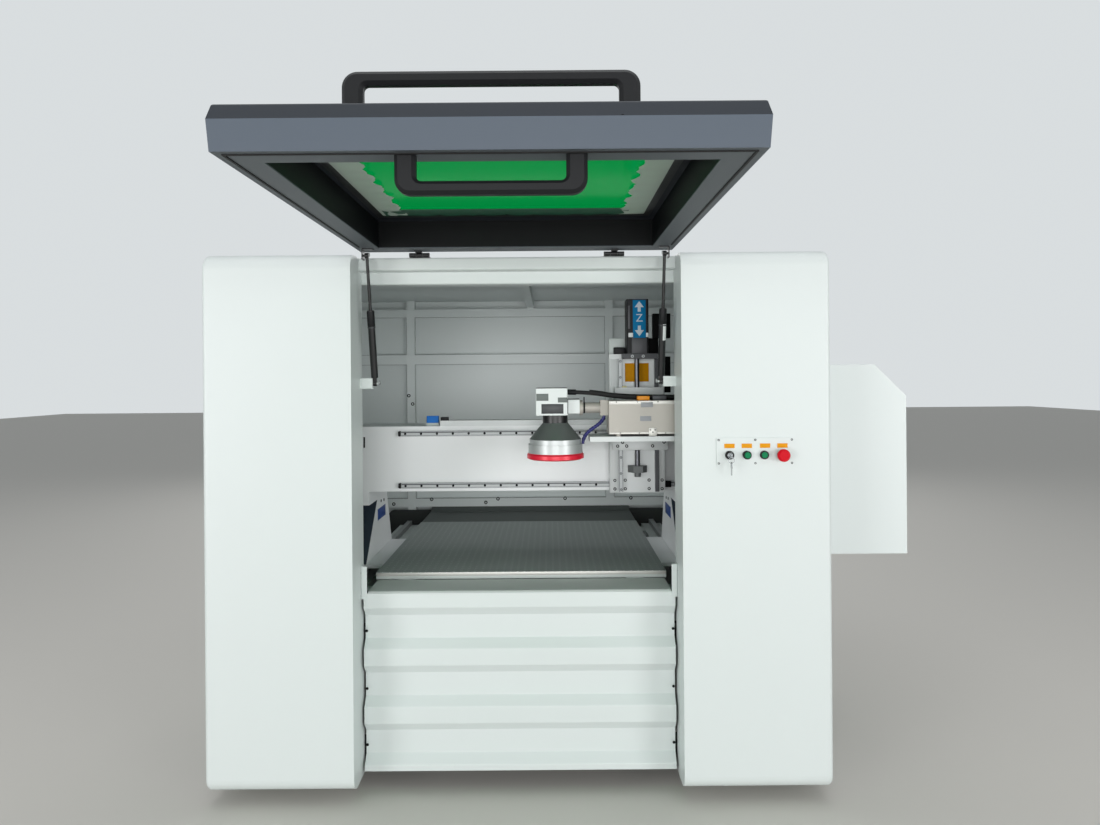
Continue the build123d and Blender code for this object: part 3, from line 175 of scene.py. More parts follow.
# Slate on the hood's shell and on its flange frame. Each is darker above one height with painted shade: the
# shell's top band and the inside of the frame.
shell_fold, shell_below, shell_painted_shade = 1.846, "#48525E", "#1C222A"
frame_fold, frame_below, frame_painted_shade = 1.790, "#565C61", "#05080A"
slate_coat_with_painted_shade = finish("slate_coat_with_painted_shade", shell_below, 0.50)
slate_coat_with_painted_shade = paint_shade_above(slate_coat_with_painted_shade, shell_fold, shell_below, shell_painted_shade)
slate_coat_with_painted_shade = grain(slate_coat_with_painted_shade, texture_mm, texture_strength)
slate_flange_with_painted_shade = finish("slate_flange_with_painted_shade", frame_below, 0.50, Specular_IOR_Level=0.2)
slate_flange_with_painted_shade = paint_shade_above(slate_flange_with_painted_shade, frame_fold, frame_below, frame_painted_shade)
slate_flange_with_painted_shade = grain(slate_flange_with_painted_shade, texture_mm, texture_strength)

# Smooth black enamel on hinges and struts, with a sharper highlight than the powder coats.
black_enamel = finish("black_enamel", "#131416", 0.35)
print("coats", len(bpy.data.materials))

# %% [markdown]
# ### Plastics, rubber and glass
# Moulded plastic reflects a little light whatever its colour, so these stay unmetallic and differ in
# roughness. The safety window is dyed acrylic, 5 mm thick. It is seen through, so it transmits all light
# and its colour does the dyeing. Its index is kept close to that of air, because a flat sheet hardly bends
# the view.

# %% Plastics, rubber and glass
# Dyed acrylic: what lies behind it shows green and sharp.
safety_pane = finish("safety_pane", "#00A24A", 0.10, Transmission_Weight=1.0, IOR=1.05)

# ABS moulded in a spark-eroded tool, on handles and motors: fine grained and dull.
black_abs = grain(finish("black_abs", "#1A1B1D", 0.48, Specular_IOR_Level=0.2), 1.2, 0.15)

# Rubber of gasket, feet and cable: the dullest black of all.
black_rubber = finish("black_rubber", "#0C0C0D", 0.75)

# Blackened steel screws, which swallow nearly all light in their sockets.
black_oxide = finish("black_oxide", "#08090A", 0.60, Specular_IOR_Level=0.1)

# Caps of the push buttons: smooth, with a small soft highlight.
green_cap = finish("green_cap", "#007A4C", 0.35, Specular_IOR_Level=0.15)
red_cap = finish("red_cap", "#C80019", 0.35, Specular_IOR_Level=0.15)

# Nylon housing of the limit sensor, and the navy links of the jointed hose.
blue_housing = finish("blue_housing", "#0869BE", 0.45, Specular_IOR_Level=0.2)
navy_beads = finish("navy_beads", "#171A66", 0.35)

# Coated glass below the lens: clear, with a bluish tinge.
clear_lens = finish("clear_lens", "#B9C6D8", 0.05, Transmission_Weight=0.7, IOR=1.5)
print("window's index", safety_pane.node_tree.nodes["Principled BSDF"].inputs["IOR"].default_value)

# %% [markdown]
# ### Metals
# Bare metal shows the room, and in the photograph the room is pale and out of focus. Nearly all the metals
# are therefore rough and only partly metallic, which keeps their colour even. The worktable has a grid of
# small tapped holes. Over a thousand modelled holes would add nothing at this distance, so nodes draw them:
# the place on the plate is snapped to the grid, and its distance from the middle of its cell gives hole,
# rim or plate.

# %% Grid of tapped holes
def hole_grid(material, pitch_mm, hole_mm, hole_shade_code, rim_highlight_code):
    """A square grid of small tapped holes in the X and Y of the piece: painted shade in each hole and a
    painted highlight on its rim.
    """
    tree = material.node_tree
    surface = tree.nodes["Principled BSDF"]
    pitch = pitch_mm / 1000
    taller_than_plate = 10
    # Painted shade fills the middle of each hole, and a painted highlight lines its rim.
    shade_until, highlight_at = 0.35, 0.6
    place = node(material, "ShaderNodeTexCoord")
    cell = node(material, "ShaderNodeVectorMath", [(0, place, "Object")], operation="SNAP")
    cell.inputs[1].default_value = (pitch, pitch, taller_than_plate)
    both = [(0, place, "Object"), (1, cell, "Vector")]
    local = node(material, "ShaderNodeVectorMath", both, operation="SUBTRACT")
    offset = node(material, "ShaderNodeVectorMath", [(0, local, "Vector")], operation="SUBTRACT")
    offset.inputs[1].default_value = (pitch / 2, pitch / 2, 0)
    flat = node(material, "ShaderNodeVectorMath", [(0, offset, "Vector")], operation="MULTIPLY")
    flat.inputs[1].default_value = (1, 1, 0)
    distance = node(material, "ShaderNodeVectorMath", [(0, flat, "Vector")], operation="LENGTH")
    share = node(material, "ShaderNodeMapRange", [("Value", distance, "Value")])
    share.inputs["From Max"].default_value = hole_mm / 1000
    ramp = node(material, "ShaderNodeValToRGB", [("Fac", share, "Result")])
    ramp.color_ramp.elements[0].color = srgb(hole_shade_code)
    ramp.color_ramp.elements[0].position = shade_until
    ramp.color_ramp.elements[1].color = tuple(surface.inputs["Base Color"].default_value)
    rim = ramp.color_ramp.elements.new(highlight_at)
    rim.color = srgb(rim_highlight_code)
    tree.links.new(ramp.outputs["Color"], surface.inputs["Base Color"])
    return material


table_pitch_mm = 25
table_hole_mm = 4.2

# Coated plate behind the table, dark grey with painted shade, and the table itself with its holes: grey, flat
# and satin.
rear_grey_painted_shade = finish("rear_grey_painted_shade", "#3F4644", 0.50)
drilled_table = finish("drilled_table", "#8A9290", 0.48)
# The dark grey is painted shade in the holes, and the pale grey a painted highlight on their rims.
drilled_table = hole_grid(drilled_table, table_pitch_mm, table_hole_mm, "#3A403E", "#D4DCDA")
print("a hole every", table_pitch_mm, "mm")

# %% Steel, aluminium and plated metal
# Sheet of the ledge, its white coat greyed by painted shade: a pale grey without a highlight.
pale_grey_painted_shade = finish("pale_grey_painted_shade", "#C0C6C4", 0.45)

# Ground rails: grey with a broad soft gleam along them. The turned screw mirrors more.
ground_steel = finish("ground_steel", "#A4A8A9", 0.45, 0.35)
screw_steel = finish("screw_steel", "#55565A", 0.28, 1.0)

# Milled aluminium of carriage and bracket, silky and pale, and dark anodised castings.
milled_aluminium = finish("milled_aluminium", "#C5C9C9", 0.50, 0.25)
dark_anodised = finish("dark_anodised", "#46484B", 0.45, 0.1, Specular_IOR_Level=0.3)

# Satin nickel on the laser box: a warm grey.
satin_nickel = finish("satin_nickel", "#ABA7A0", 0.48, 0.15)

# The lens: a turned barrel with a silver streak, a grey anodised cone, a black neck and a red ring.
turned_silver = finish("turned_silver", "#B8BCBC", 0.38, 0.5)
cone_anodised = finish("cone_anodised", "#636967", 0.45, 0.35)
lens_black = finish("lens_black", "#0E0E10", 0.35)
ring_red = finish("ring_red", "#DC1B36", 0.28, 0.10)

# Painted die casting of the scanner, and chrome on the lock.
white_housing = finish("white_housing", "#DADFDF", 0.35, Specular_IOR_Level=0.3)
polished_chrome = finish("polished_chrome", "#8C9092", 0.22, 0.8)
print("finishes", len(bpy.data.materials))

# %% [markdown]
# ### Finishes on the solids
# The record names a slot for each solid, such as white_paint or steel, so one table goes from slot to
# finish. A few solids differ from the rest of their slot and are coated once more.

# %% Coat the solids
FINISH = {
    "white_paint": white_powder_coat, "grey_paint": grey_powder_coat, "slate_paint": slate_coat_with_painted_shade,
    "black_paint": black_enamel, "safety_green": safety_pane, "black_plastic": black_abs,
    "black_rubber": black_rubber, "table_grey": rear_grey_painted_shade, "steel": ground_steel,
    "screw_steel": screw_steel, "plate_aluminium": milled_aluminium, "dark_aluminium": dark_anodised,
    "nickel": satin_nickel, "lens_silver": turned_silver, "cone_grey": cone_anodised,
    "lens_black": lens_black, "ring_red": ring_red, "clear_glass": clear_lens,
    "white_housing": white_housing, "chrome": polished_chrome, "green_plastic": green_cap,
    "red_plastic": red_cap, "blue_plastic": blue_housing,
}


def coat(obj, material):
    """Gives the object this one material."""
    obj.data.materials.clear()
    obj.data.materials.append(material)
    return obj


slot_of = {row["node"]: row["material_slot"] for row in frame["record"]["subparts"]}
for node_name, solid in frame["nodes"].items():
    coat(solid, FINISH[slot_of[node_name]])
own_finish = {
    "hood_frame": slate_flange_with_painted_shade, "ledge": pale_grey_painted_shade, "table": drilled_table, "rear_frame": white_powder_coat,
    "beam": beam_white_painted_light, "gantry_legs": beam_white_painted_light,
    "screw_bearing": finish("bearing_grey", "#5C6060", 0.50, 0.1),
}
for node_name, material in own_finish.items():
    coat(frame["nodes"][node_name], material)
print("finishes on", len(slot_of), "nodes")

# %% [markdown]
# ## Selecting and placing
# An operator acts on all that is selected, so one helper makes an object the only selected one. Another
# applies an object's transform, which leaves it at the origin with its place in its mesh, as the frame's
# solids have it. What repeats is joined to one piece, and each new piece is told which body it rides on.

# %% Helpers for selecting, joining and fitting
def only(obj):
    """Makes obj the active object and the only selected one."""
    bpy.ops.object.select_all(action="DESELECT")
    bpy.context.view_layer.objects.active = obj
    obj.select_set(True)
    return obj


def settle(obj):
    """Puts the object's place, turn and size into its mesh."""
    only(obj)
    bpy.ops.object.transform_apply(location=True, rotation=True, scale=True)
    return obj


def called(name):
    """Names the piece that was just added, and its mesh."""
    piece = bpy.context.active_object
    piece.name = name
    piece.data.name = name
    return piece


def joined(name, parts):
    """Several objects as one mesh."""
    only(parts[0])
    for part in parts[1:]:
        part.select_set(True)
    if len(parts) > 1:
        bpy.ops.object.join()
    return called(name)


def fit(obj, body, slot_name, material=None):
    """Finishes a new piece: its material, which is its slot's finish unless one is given, and the body that
    it rides on.
    """
    coat(obj, material or FINISH[slot_name])
    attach(obj, body)
    return obj


print("slots", len(FINISH))

# %% [markdown]
# ## Small plates
# Many of the small pieces are thin plates. A plate could be drawn point by point, but a cube that is scaled
# to its size is simpler. Its edges are then bevelled, because no real edge is sharp, and a bevel catches a
# line of light.

# %% Helpers for plates
soft_edge = 0.0008


def block(name, low, high):
    """A box between two corners, in metres."""
    bpy.ops.object.select_all(action="DESELECT")
    middle = [(a + b) / 2 for a, b in zip(low, high)]
    bpy.ops.mesh.primitive_cube_add(size=1, location=middle)
    box = called(name)
    box.scale = [b - a for a, b in zip(low, high)]
    return settle(box)


def bevelled(obj, width, segments=2):
    """Rounds all of the object's edges with a bevel modifier, which is then applied."""
    only(obj)
    bevel = obj.modifiers.new("bevel", "BEVEL")
    bevel.width = width
    bevel.segments = segments
    bevel.limit_method = "ANGLE"
    bpy.ops.object.modifier_apply(modifier=bevel.name)
    bpy.ops.object.shade_smooth_by_angle(angle=math.radians(35))
    return obj


def plate(name, low, high, edge=soft_edge):
    """A bevelled plate between two corners."""
    return bevelled(block(name, low, high), edge)


def front_plate(name, face, thick, across, up, edge=soft_edge):
    """A plate that stands out from a front face, with its span across and its span up."""
    return plate(name, (across[0], face - thick, up[0]), (across[1], face, up[1]), edge)


print("edges are rounded by", soft_edge, "m unless a piece says otherwise")

# %% [markdown]
# ## Screws
# The machine is held by socket screws. A head could be cut with a boolean, but an inset is simpler: the end
# face of a short cylinder is inset and then sunk, which makes the socket. The head is modelled once, and
# each place gets its own copy of that mesh.

# %% Helper for a screw head
FACING = {
    "-y": (math.pi / 2, 0, 0), "-z": (math.pi, 0, 0), "+x": (0, math.pi / 2, 0), "-x": (0, -math.pi / 2, 0),
}


def screw_head(name, radius, height, facing):
    """A socket head that stands on the origin and faces one way."""
    socket_wall, socket_slope, socket_depth = radius * 0.45, radius * 0.05, height * 0.6
    bpy.ops.object.select_all(action="DESELECT")
    bpy.ops.mesh.primitive_cylinder_add(vertices=12, radius=radius, depth=height, location=(0, 0, height / 2))
    head = bpy.context.active_object
    head.name = name
    for face in head.data.polygons:
        face.select = face.normal.z > 0.9
    bpy.ops.object.mode_set(mode="EDIT")
    bpy.ops.mesh.select_mode(type="FACE")
    bpy.ops.mesh.inset(thickness=socket_wall, depth=0)
    bpy.ops.mesh.inset(thickness=socket_slope, depth=-socket_depth)
    bpy.ops.object.mode_set(mode="OBJECT")
    head.rotation_euler = FACING[facing]
    return settle(head)


print("facings", list(FACING))

# %% Helpers for copies of a screw
def at_places(name, model, moves):
    """One mesh with a moved copy of the model for each matrix. The model itself is used up."""
    copies = []
    for move in moves:
        copy = model.copy()
        copy.data = model.data.copy()
        copy.data.transform(move)
        scene.collection.objects.link(copy)
        copies.append(copy)
    bpy.data.objects.remove(model)
    return joined(name, copies)


def screws(name, places, head, facing, body, slot_name, material=None):
    """A group of equal screws on one body. head is the radius and height of a head, in metres."""
    moves = [Matrix.Translation(place) for place in places]
    group = at_places(name, screw_head(name, *head, facing), moves)
    if slot_name == "black_plastic" and material is None:
        material = black_oxide
    print(name, len(places))
    return fit(group, body, slot_name, material)


# %% [markdown]
# ## Hood
# A ring of flat bar holds the green safety window, and screws with low heads hold the ring. They stand in
# rows, so their places are worked out from the two sides and two ends of the ring, and not written one by
# one. The front band has a small black plug, which is a very flat head.

# %% Screws of the window ring, and the plug
ring_z = 1.8655
ring_side = 0.402
ring_rear = -0.855
ring_front = -1.651
side_rows = (-1.60, -1.43, -1.265, -1.10, -0.935)
cross_columns = (-0.345, -0.13, 0.13, 0.345)
window_head = (0.0042, 0.0025)
window_places = [(side * ring_side, y, ring_z) for side in (-1, 1) for y in side_rows]
window_places += [(x, y, ring_z) for x in cross_columns for y in (ring_rear, ring_front)]
screws("window_screws", window_places, window_head, "-z", "hood", "steel")
plug_place = (0.243, -1.7855, 1.845)
plug_head = (0.0035, 0.0004)
screws("hood_plug", [plug_place], plug_head, "-y", "hood", "black_plastic")

# %% [markdown]
# The makers left the protective film on the window, torn back along both sides and hanging over the bar at
# the rear. It is stretched on the window, so it is a flat grid and not a cloth simulation. Sine waves of
# three lengths pull its free edge about, which looks torn, and a little sag lets the light play on it.

# %% Film left on the window
film_pale = finish("film_pale", "#C4D4C8", 0.40, Transmission_Weight=0.35)
film_green = finish("film_green", "#0C5238", 0.30)
film_z = 1.8648
film_thick = 0.0003
film_sag = 0.0012
film_ends = (-1.62, -0.875)
film_outer, film_inner = 0.395, 0.325
tear_waves = ((61, 1, 0), (147, 0.6, 1), (310, 0.4, 0))
sag_wave = 90


def torn_strip(name, across, along, edge, tear_size, material):
    """A thin film between two corners, with waves, and with one side torn in a ragged line."""
    (x0, x1), (y0, y1) = across, along
    cells = (36, 6) if x1 - x0 > y1 - y0 else (6, 48)
    middle = ((x0 + x1) / 2, (y0 + y1) / 2, film_z)
    bpy.ops.object.select_all(action="DESELECT")
    bpy.ops.mesh.primitive_grid_add(
        x_subdivisions=cells[0], y_subdivisions=cells[1], size=1, location=middle
    )
    film = called(name)
    film.scale = (x1 - x0, y1 - y0, 1)
    settle(film)
    for vertex in film.data.vertices:
        x, y, _ = vertex.co
        run = x if edge == "y" else y
        tear = tear_size * sum(size * math.sin(run * rate + start) for rate, size, start in tear_waves)
        if edge == "y":
            share = (y - y0) / (y1 - y0)
            vertex.co.y += tear * share
        else:
            share = abs(x) - min(abs(x0), abs(x1))
            share = 1 - share / abs(x1 - x0)
            vertex.co.x += tear * share
        vertex.co.z -= film_sag * share * (1 + math.sin(run * sag_wave))
    only(film)
    thick = film.modifiers.new("film", "SOLIDIFY")
    thick.thickness = film_thick
    bpy.ops.object.modifier_apply(modifier=thick.name)
    bpy.ops.object.shade_smooth_by_angle(angle=math.radians(60))
    fit(film, "hood", "white_housing", material)
    print(name, round(x1 - x0, 3), "by", round(y1 - y0, 3), "m")


torn_strip("film_left", (-film_outer, -film_inner), film_ends, "x", 0.006, film_pale)
torn_strip("film_right", (film_inner, film_outer), film_ends, "x", 0.006, film_pale)
torn_strip("film_rear", (-0.385, 0.345), (-0.955, -0.875), "y", 0.004, film_green)

# %% [markdown]
# ## Gas struts
# Each strut has a cap with a band below it at the top of its barrel, a bolt at each end, and the right one a
# paper label. A cap is a tube, so it starts as an open cylinder that Solidify thickens inwards. The strut
# leans, so its pieces are made upright at the origin and then turned and moved along it.

# %% Helper for rings
TURN_TO = {"x": (0, math.pi / 2, 0), "y": (math.pi / 2, 0, 0), "z": (0, 0, 0)}


def ring(name, middle, radius, wall, length, along):
    """A tube with rounded edges: an open cylinder that Solidify thickens inwards."""
    bpy.ops.object.select_all(action="DESELECT")
    bpy.ops.mesh.primitive_cylinder_add(
        vertices=32, radius=radius, depth=length, end_fill_type="NOTHING", location=middle,
        rotation=TURN_TO[along]
    )
    tube = settle(called(name))
    thick = tube.modifiers.new("wall", "SOLIDIFY")
    thick.thickness = wall
    thick.offset = -1
    bpy.ops.object.modifier_apply(modifier=thick.name)
    return bevelled(tube, wall / 4)


print("axes", list(TURN_TO))

# %% Caps, bands and bolts of the struts
origin = (0, 0, 0)
strut_low = Vector((0.478, -0.643, 1.354))
strut_high = Vector((0.478, -0.742, 1.765))
strut_way = (strut_high - strut_low).normalized()
cap_along, band_along, label_along = 0.218, 0.190, 0.168
bolt_x, bolt_head = 0.472, (0.0065, 0.005)
nut_x, nut_head = 0.4625, (0.007, 0.004)


def along_strut(obj, side, distance):
    """Moves an upright piece at the origin to its distance along a strut and leans it the same way."""
    lean = Vector((0, 0, 1)).rotation_difference(strut_way).to_matrix().to_4x4()
    place = strut_low + strut_way * distance
    obj.data.transform(Matrix.Translation((side * place.x, place.y, place.z)) @ lean)
    return obj


for side, word in ((-1, "left"), (1, "right")):
    cap = along_strut(ring(f"strut_cap_{word}", origin, 0.0124, 0.0008, 0.048, "z"), side, cap_along)
    fit(cap, f"{word}_barrel", "black_plastic")
    band = along_strut(ring(f"strut_band_{word}", origin, 0.0128, 0.0012, 0.004, "z"), side, band_along)
    fit(band, f"{word}_barrel", "steel", dark_anodised)
    inward = "+x" if side < 0 else "-x"
    bolt_place = (side * bolt_x, strut_high.y, strut_high.z)
    screws(f"strut_bolt_{word}", [bolt_place], bolt_head, inward, f"{word}_rod", "steel")
    nut_place = (side * nut_x, strut_low.y, strut_low.z)
    screws(f"strut_nut_{word}", [nut_place], nut_head, inward, "enclosure", "steel")

# %% [markdown]
# The paper label goes only half way round the right barrel. It is a ring too, cut open: the faces of one
# half are selected by their place and deleted, and the open edges are closed again.

# %% Label of the right strut
label = ring("strut_label", origin, 0.0119, 0.0003, 0.055, "z")
for face in label.data.polygons:
    face.select = face.center.x < 0.001
only(label)
bpy.ops.object.mode_set(mode="EDIT")
bpy.ops.mesh.select_mode(type="FACE")
bpy.ops.mesh.delete(type="FACE")
bpy.ops.mesh.select_all(action="SELECT")
bpy.ops.mesh.select_mode(type="EDGE")
bpy.ops.mesh.select_all(action="DESELECT")
bpy.ops.mesh.select_non_manifold()
bpy.ops.mesh.edge_face_add()
bpy.ops.object.mode_set(mode="OBJECT")
fit(along_strut(label, 1, label_along), "right_barrel", "white_housing")
print("label faces", len(label.data.polygons))

# %% [markdown]
# ## Gantry
# The beam's two linear rails are screwed down every 60 mm. Each screw sits deep in its hole, so all that
# shows is the shade in the hole, painted as a very thin dark head. Two grooves run along each rail, one wider
# than the other, and thin dark plates paint the shade in them. A rubber stop closes the left end of each
# rail.

# %% Rail screws, grooves and stops
# Painted shade: the dark colour of the deep screw holes in the rails.
painted_hole_shade = finish("painted_hole_shade", "#0A0B0D", 0.7, Specular_IOR_Level=0.1)
rail_face = -0.3165
rail_heights = (1.160, 0.963)
rail_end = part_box("x_rails")[1][0]
hole_first, hole_pitch, hole_count = -0.442, 0.060, 27
hole_head = (0.0048, 0.0002)
groove_depth, groove_start = 0.0002, -0.457
groove_spans = ((0.0040, 0.0074), (-0.0068, -0.0055))
stop_start, stop_end, stop_back, stop_half = -0.470, -0.458, -0.299, 0.010
rail_places = [
    (hole_first + n * hole_pitch, rail_face, z) for z in rail_heights for n in range(hole_count)
]
screws("x_rail_screws", rail_places, hole_head, "-y", "gantry", "black_plastic", painted_hole_shade)
groove_across = (groove_start, rail_end - 0.001)
grooves = [
    front_plate("groove", rail_face, groove_depth, groove_across, (z + low, z + high), 0.00005)
    for z in rail_heights for low, high in groove_spans
]
fit(joined("x_rail_grooves", grooves), "gantry", "steel", dark_anodised)
stops = [
    plate("stop", (stop_start, rail_face, z - stop_half), (stop_end, stop_back, z + stop_half), 0.004)
    for z in rail_heights
]
fit(joined("x_rail_stops", stops), "gantry", "black_rubber")
print("grooves", len(grooves), "stops", len(stops))

# %% [markdown]
# The beam has a narrow slot near its left end, and a dark plate paints the shade in it. The limit sensor on
# its top has a foot and a connector. All three are small bevelled boxes.

# %% Slot and sensor on the beam
slot_low, slot_high = (-0.604, -0.3004, 1.107), (-0.598, -0.299, 1.148)
connector_low, connector_high = (-0.311, -0.297, 1.208), (-0.283, -0.262, 1.221)
sensor_foot_low, sensor_foot_high = (-0.369, -0.2815, 1.187), (-0.319, -0.2565, 1.199)
# The dark plate in the slot is painted shade.
fit(plate("beam_slot", slot_low, slot_high, 0.0012), "gantry", "black_plastic")
fit(plate("beam_connector", connector_low, connector_high, 0.002), "gantry", "black_plastic")
fit(plate("sensor_base", sensor_foot_low, sensor_foot_high, 0.0015), "gantry", "grey_paint")
print("sensor's foot from X", sensor_foot_low[0], "to", sensor_foot_high[0])

# %% [markdown]
# Each leg has two black screws on its inner side, a blue label that is left plain, and a slate cover on its
# sloping front. The cover starts as an upright plate. Its points are then moved back in step with their
# height, which leans it like the leg.

# %% Screws, covers and labels of the legs
slate_front = finish("slate_front", "#26313D", 0.50)
label_navy = finish("label_navy", "#173F86", 0.50)
leg_screw_x, leg_head = 0.584, (0.006, 0.003)
leg_screw_sites = ((-0.102, 0.872), (-0.050, 0.868))
cover_inner, cover_outer, cover_thick = 0.5845, 0.674, 0.003
foot_y, foot_z = -0.350, 0.676
cap_y, cap_z = -0.165, 0.888
leg_label_inner, leg_label_outer = 0.5836, 0.5840
leg_label_along, leg_label_up = (-0.161, -0.022), (0.803, 0.848)
for side, word, facing in ((-1, "left", "+x"), (1, "right", "-x")):
    leg_places = [(side * leg_screw_x, y, z) for y, z in leg_screw_sites]
    screws(f"leg_screws_{word}", leg_places, leg_head, facing, "gantry", "black_plastic")
covers, labels = [], []
for side in (-1, 1):
    cover_across = sorted((side * cover_inner, side * cover_outer))
    cover = front_plate("cover", foot_y, cover_thick, cover_across, (foot_z, cap_z), 0.0006)
    for vertex in cover.data.vertices:
        vertex.co.y += (cap_y - foot_y) * (vertex.co.z - foot_z) / (cap_z - foot_z)
    covers.append(cover)
    near, far = sorted((side * leg_label_inner, side * leg_label_outer))
    low = (near, leg_label_along[0], leg_label_up[0])
    high = (far, leg_label_along[1], leg_label_up[1])
    labels.append(plate("label", low, high, 0.0001))
fit(joined("leg_covers", covers), "gantry", "slate_paint", slate_front)
fit(joined("leg_labels", labels), "gantry", "blue_plastic", label_navy)
print("covers", len(covers), "labels", len(labels))

# %% [markdown]
# ## Carriage and vertical axis
# The carriage plate is milled aluminium with a raised land at each side. The land could be an extrusion of
# the plate itself, but the solids are left as they are, so two thin plates lie on it. Black screws hold it
# at its lower corners.

# %% Carriage plate
plate_face = -0.349
land_thick, land_up = 0.003, (0.938, 1.435)
land_spans = ((0.329, 0.357), (0.512, 0.533))
lands = [front_plate("land", plate_face, land_thick, across, land_up, 0.0006) for across in land_spans]
fit(joined("plate_lands", lands), "x_carriage", "plate_aluminium")
plate_rows = (0.950, 0.982)
plate_head = (0.006, 0.0025)
plate_places = [(x, plate_face - land_thick, z) for x in (0.346, 0.522) for z in plate_rows]
plate_places += [(x, plate_face, z) for x in (0.385, 0.474) for z in plate_rows]
screws("plate_screws", plate_places, plate_head, "-y", "x_carriage", "black_plastic")

# %% [markdown]
# The left vertical rail shows its screw holes and two fine grooves, their shade painted as on the beam's
# rails. The right one lies in shade, so a dark strip over its face paints that shade. An amber field without
# lettering is printed behind the ball screw: a plate as thin as ink, because a plate can be placed more
# easily than a picture.

# %% Vertical rails and amber field
z_rail_face = -0.3665
z_hole_x, z_hole_first, z_hole_pitch, z_hole_count = 0.368, 0.951, 0.0595, 9
z_hole_head = (0.0044, 0.0002)
z_rail_up, z_strip_across = (0.942, 1.436), (0.4946, 0.5094)
z_groove_up, z_groove_columns, z_groove_w = (0.942, 1.435), (0.3612, 0.3736), 0.0012
z_rail_places = [(z_hole_x, z_rail_face, z_hole_first + z_hole_pitch * n) for n in range(z_hole_count)]
screws("z_rail_screws", z_rail_places, z_hole_head, "-y", "x_carriage", "black_plastic", painted_hole_shade)
# A dark strip paints the shade on the right rail's face.
strip_low = (z_strip_across[0], z_rail_face - groove_depth, z_rail_up[0])
strip_high = (z_strip_across[1], z_rail_face, z_rail_up[1])
fit(bevelled(block("z_rail_painted_shade", strip_low, strip_high), 0.00005, 1), "x_carriage", "dark_aluminium")
z_grooves = [
    front_plate("groove", z_rail_face, groove_depth, (x, x + z_groove_w), z_groove_up, 0.00005)
    for x in z_groove_columns
]
fit(joined("z_rail_grooves", z_grooves), "x_carriage", "steel", dark_anodised)
amber_print = finish("amber_print", "#C08300", 0.60, Specular_IOR_Level=0.1)
amber_across, amber_up = (0.387, 0.476), (1.351, 1.420)
field = front_plate("amber_field", plate_face, 0.0004, amber_across, amber_up, 0.0001)
fit(field, "x_carriage", "white_housing", amber_print)
print("grooves", len(z_grooves), "of", z_groove_w, "m")

# %% [markdown]
# ## Motor of the vertical axis
# A blue label on the servo motor shows the axis letter between two arrows. The marks could be a picture on
# the label, but a mesh stays sharp. An arrow is a cylinder with three sides for its head and a plate for its
# shaft. The letter is text that is turned to a mesh, with a little thickness, so that it lies on the label
# like a printed layer.

# %% Blue label
label_blue = finish("label_blue", "#0B6E9E", 0.60, Specular_IOR_Level=0.1)
label_white = finish("label_white", "#B9C3CA", 0.55, Specular_IOR_Level=0.2)
motor_face = -0.404
label_across, label_up = (0.412, 0.459), (1.512, 1.650)
motor_label = front_plate("motor_label", motor_face, 0.0006, label_across, label_up, 0.0002)
fit(motor_label, "x_carriage", "blue_plastic", label_blue)
print("label", round(label_up[1] - label_up[0], 3), "m high")

# %% Arrows and letter on the label
print_face = motor_face - 0.0009
print_thick = 0.0003
marks_x, letter_z, letter_size = 0.4355, 1.5715, 0.040
arrow_spans = ((1.646, 1.624), (1.518, 1.540))
arrow_half = 0.0195
shaft_across = (0.430, 0.441)
marks = []
for tip, base in arrow_spans:
    bpy.ops.object.select_all(action="DESELECT")
    bpy.ops.mesh.primitive_cylinder_add(
        vertices=3, radius=1, depth=print_thick, location=(marks_x, print_face, (tip + 2 * base) / 3),
        rotation=FACING["-y"]
    )
    arrow = bpy.context.active_object
    arrow.scale = (arrow_half, (tip - base) / 1.5, 1)
    marks.append(bevelled(settle(arrow), 0.00005, 1))
    shaft_up = sorted((base, base + (base - tip) * 0.75))
    shaft_face = print_face + print_thick / 2
    marks.append(front_plate("shaft", shaft_face, print_thick, shaft_across, shaft_up, 0.00005))
bpy.ops.object.select_all(action="DESELECT")
bpy.ops.object.text_add(location=(marks_x, print_face, letter_z), rotation=FACING["-y"])
letter = bpy.context.active_object
letter.data.body = "Z"
letter.data.size = letter_size
letter.data.align_x = "CENTER"
letter.data.extrude = print_thick / 2
bpy.ops.object.convert(target="MESH")
marks.append(settle(bpy.context.active_object))
fit(joined("motor_marks", marks), "x_carriage", "white_housing", label_white)
print("motor marks", len(marks))

# %% [markdown]
# Below its label the motor has a dark flange, and on its left edge a grey strip paints the highlight along
# that edge. White plugs sit at both sides, and two screws hold the motor to its mount. They are all bevelled
# boxes and copied heads.

# %% Flange, painted edge highlight, plugs and screws of the motor
flange_and_highlight_grey = finish("flange_and_highlight_grey", "#47484C", 0.50, 0.1)
flange_across, flange_up = (0.407, 0.463), (1.455, 1.511)
flange = front_plate("motor_flange", motor_face, 0.004, flange_across, flange_up, 0.003)
fit(flange, "x_carriage", "dark_aluminium", flange_and_highlight_grey)
# The grey strip on the motor's left edge is a painted highlight.
edge_across, edge_up = (0.3945, 0.402), (1.545, 1.630)
motor_edge_highlight = front_plate("motor_edge_highlight", motor_face, 0.0008, edge_across, edge_up, 0.0003)
fit(motor_edge_highlight, "x_carriage", "dark_aluminium", flange_and_highlight_grey)
plug_up = (1.514, 1.530)
plug_spans = ((0.395, 0.4115), (0.4595, 0.468))
plugs = [front_plate("plug", motor_face, 0.009, across, plug_up, 0.0015) for across in plug_spans]
fit(joined("motor_plugs", plugs), "x_carriage", "white_housing")
mount_places = [(x, motor_face, 1.443) for x in (0.409, 0.449)]
mount_head = (0.0055, 0.003)
screws("mount_screws", mount_places, mount_head, "-y", "x_carriage", "steel")
print("plugs", len(plugs))

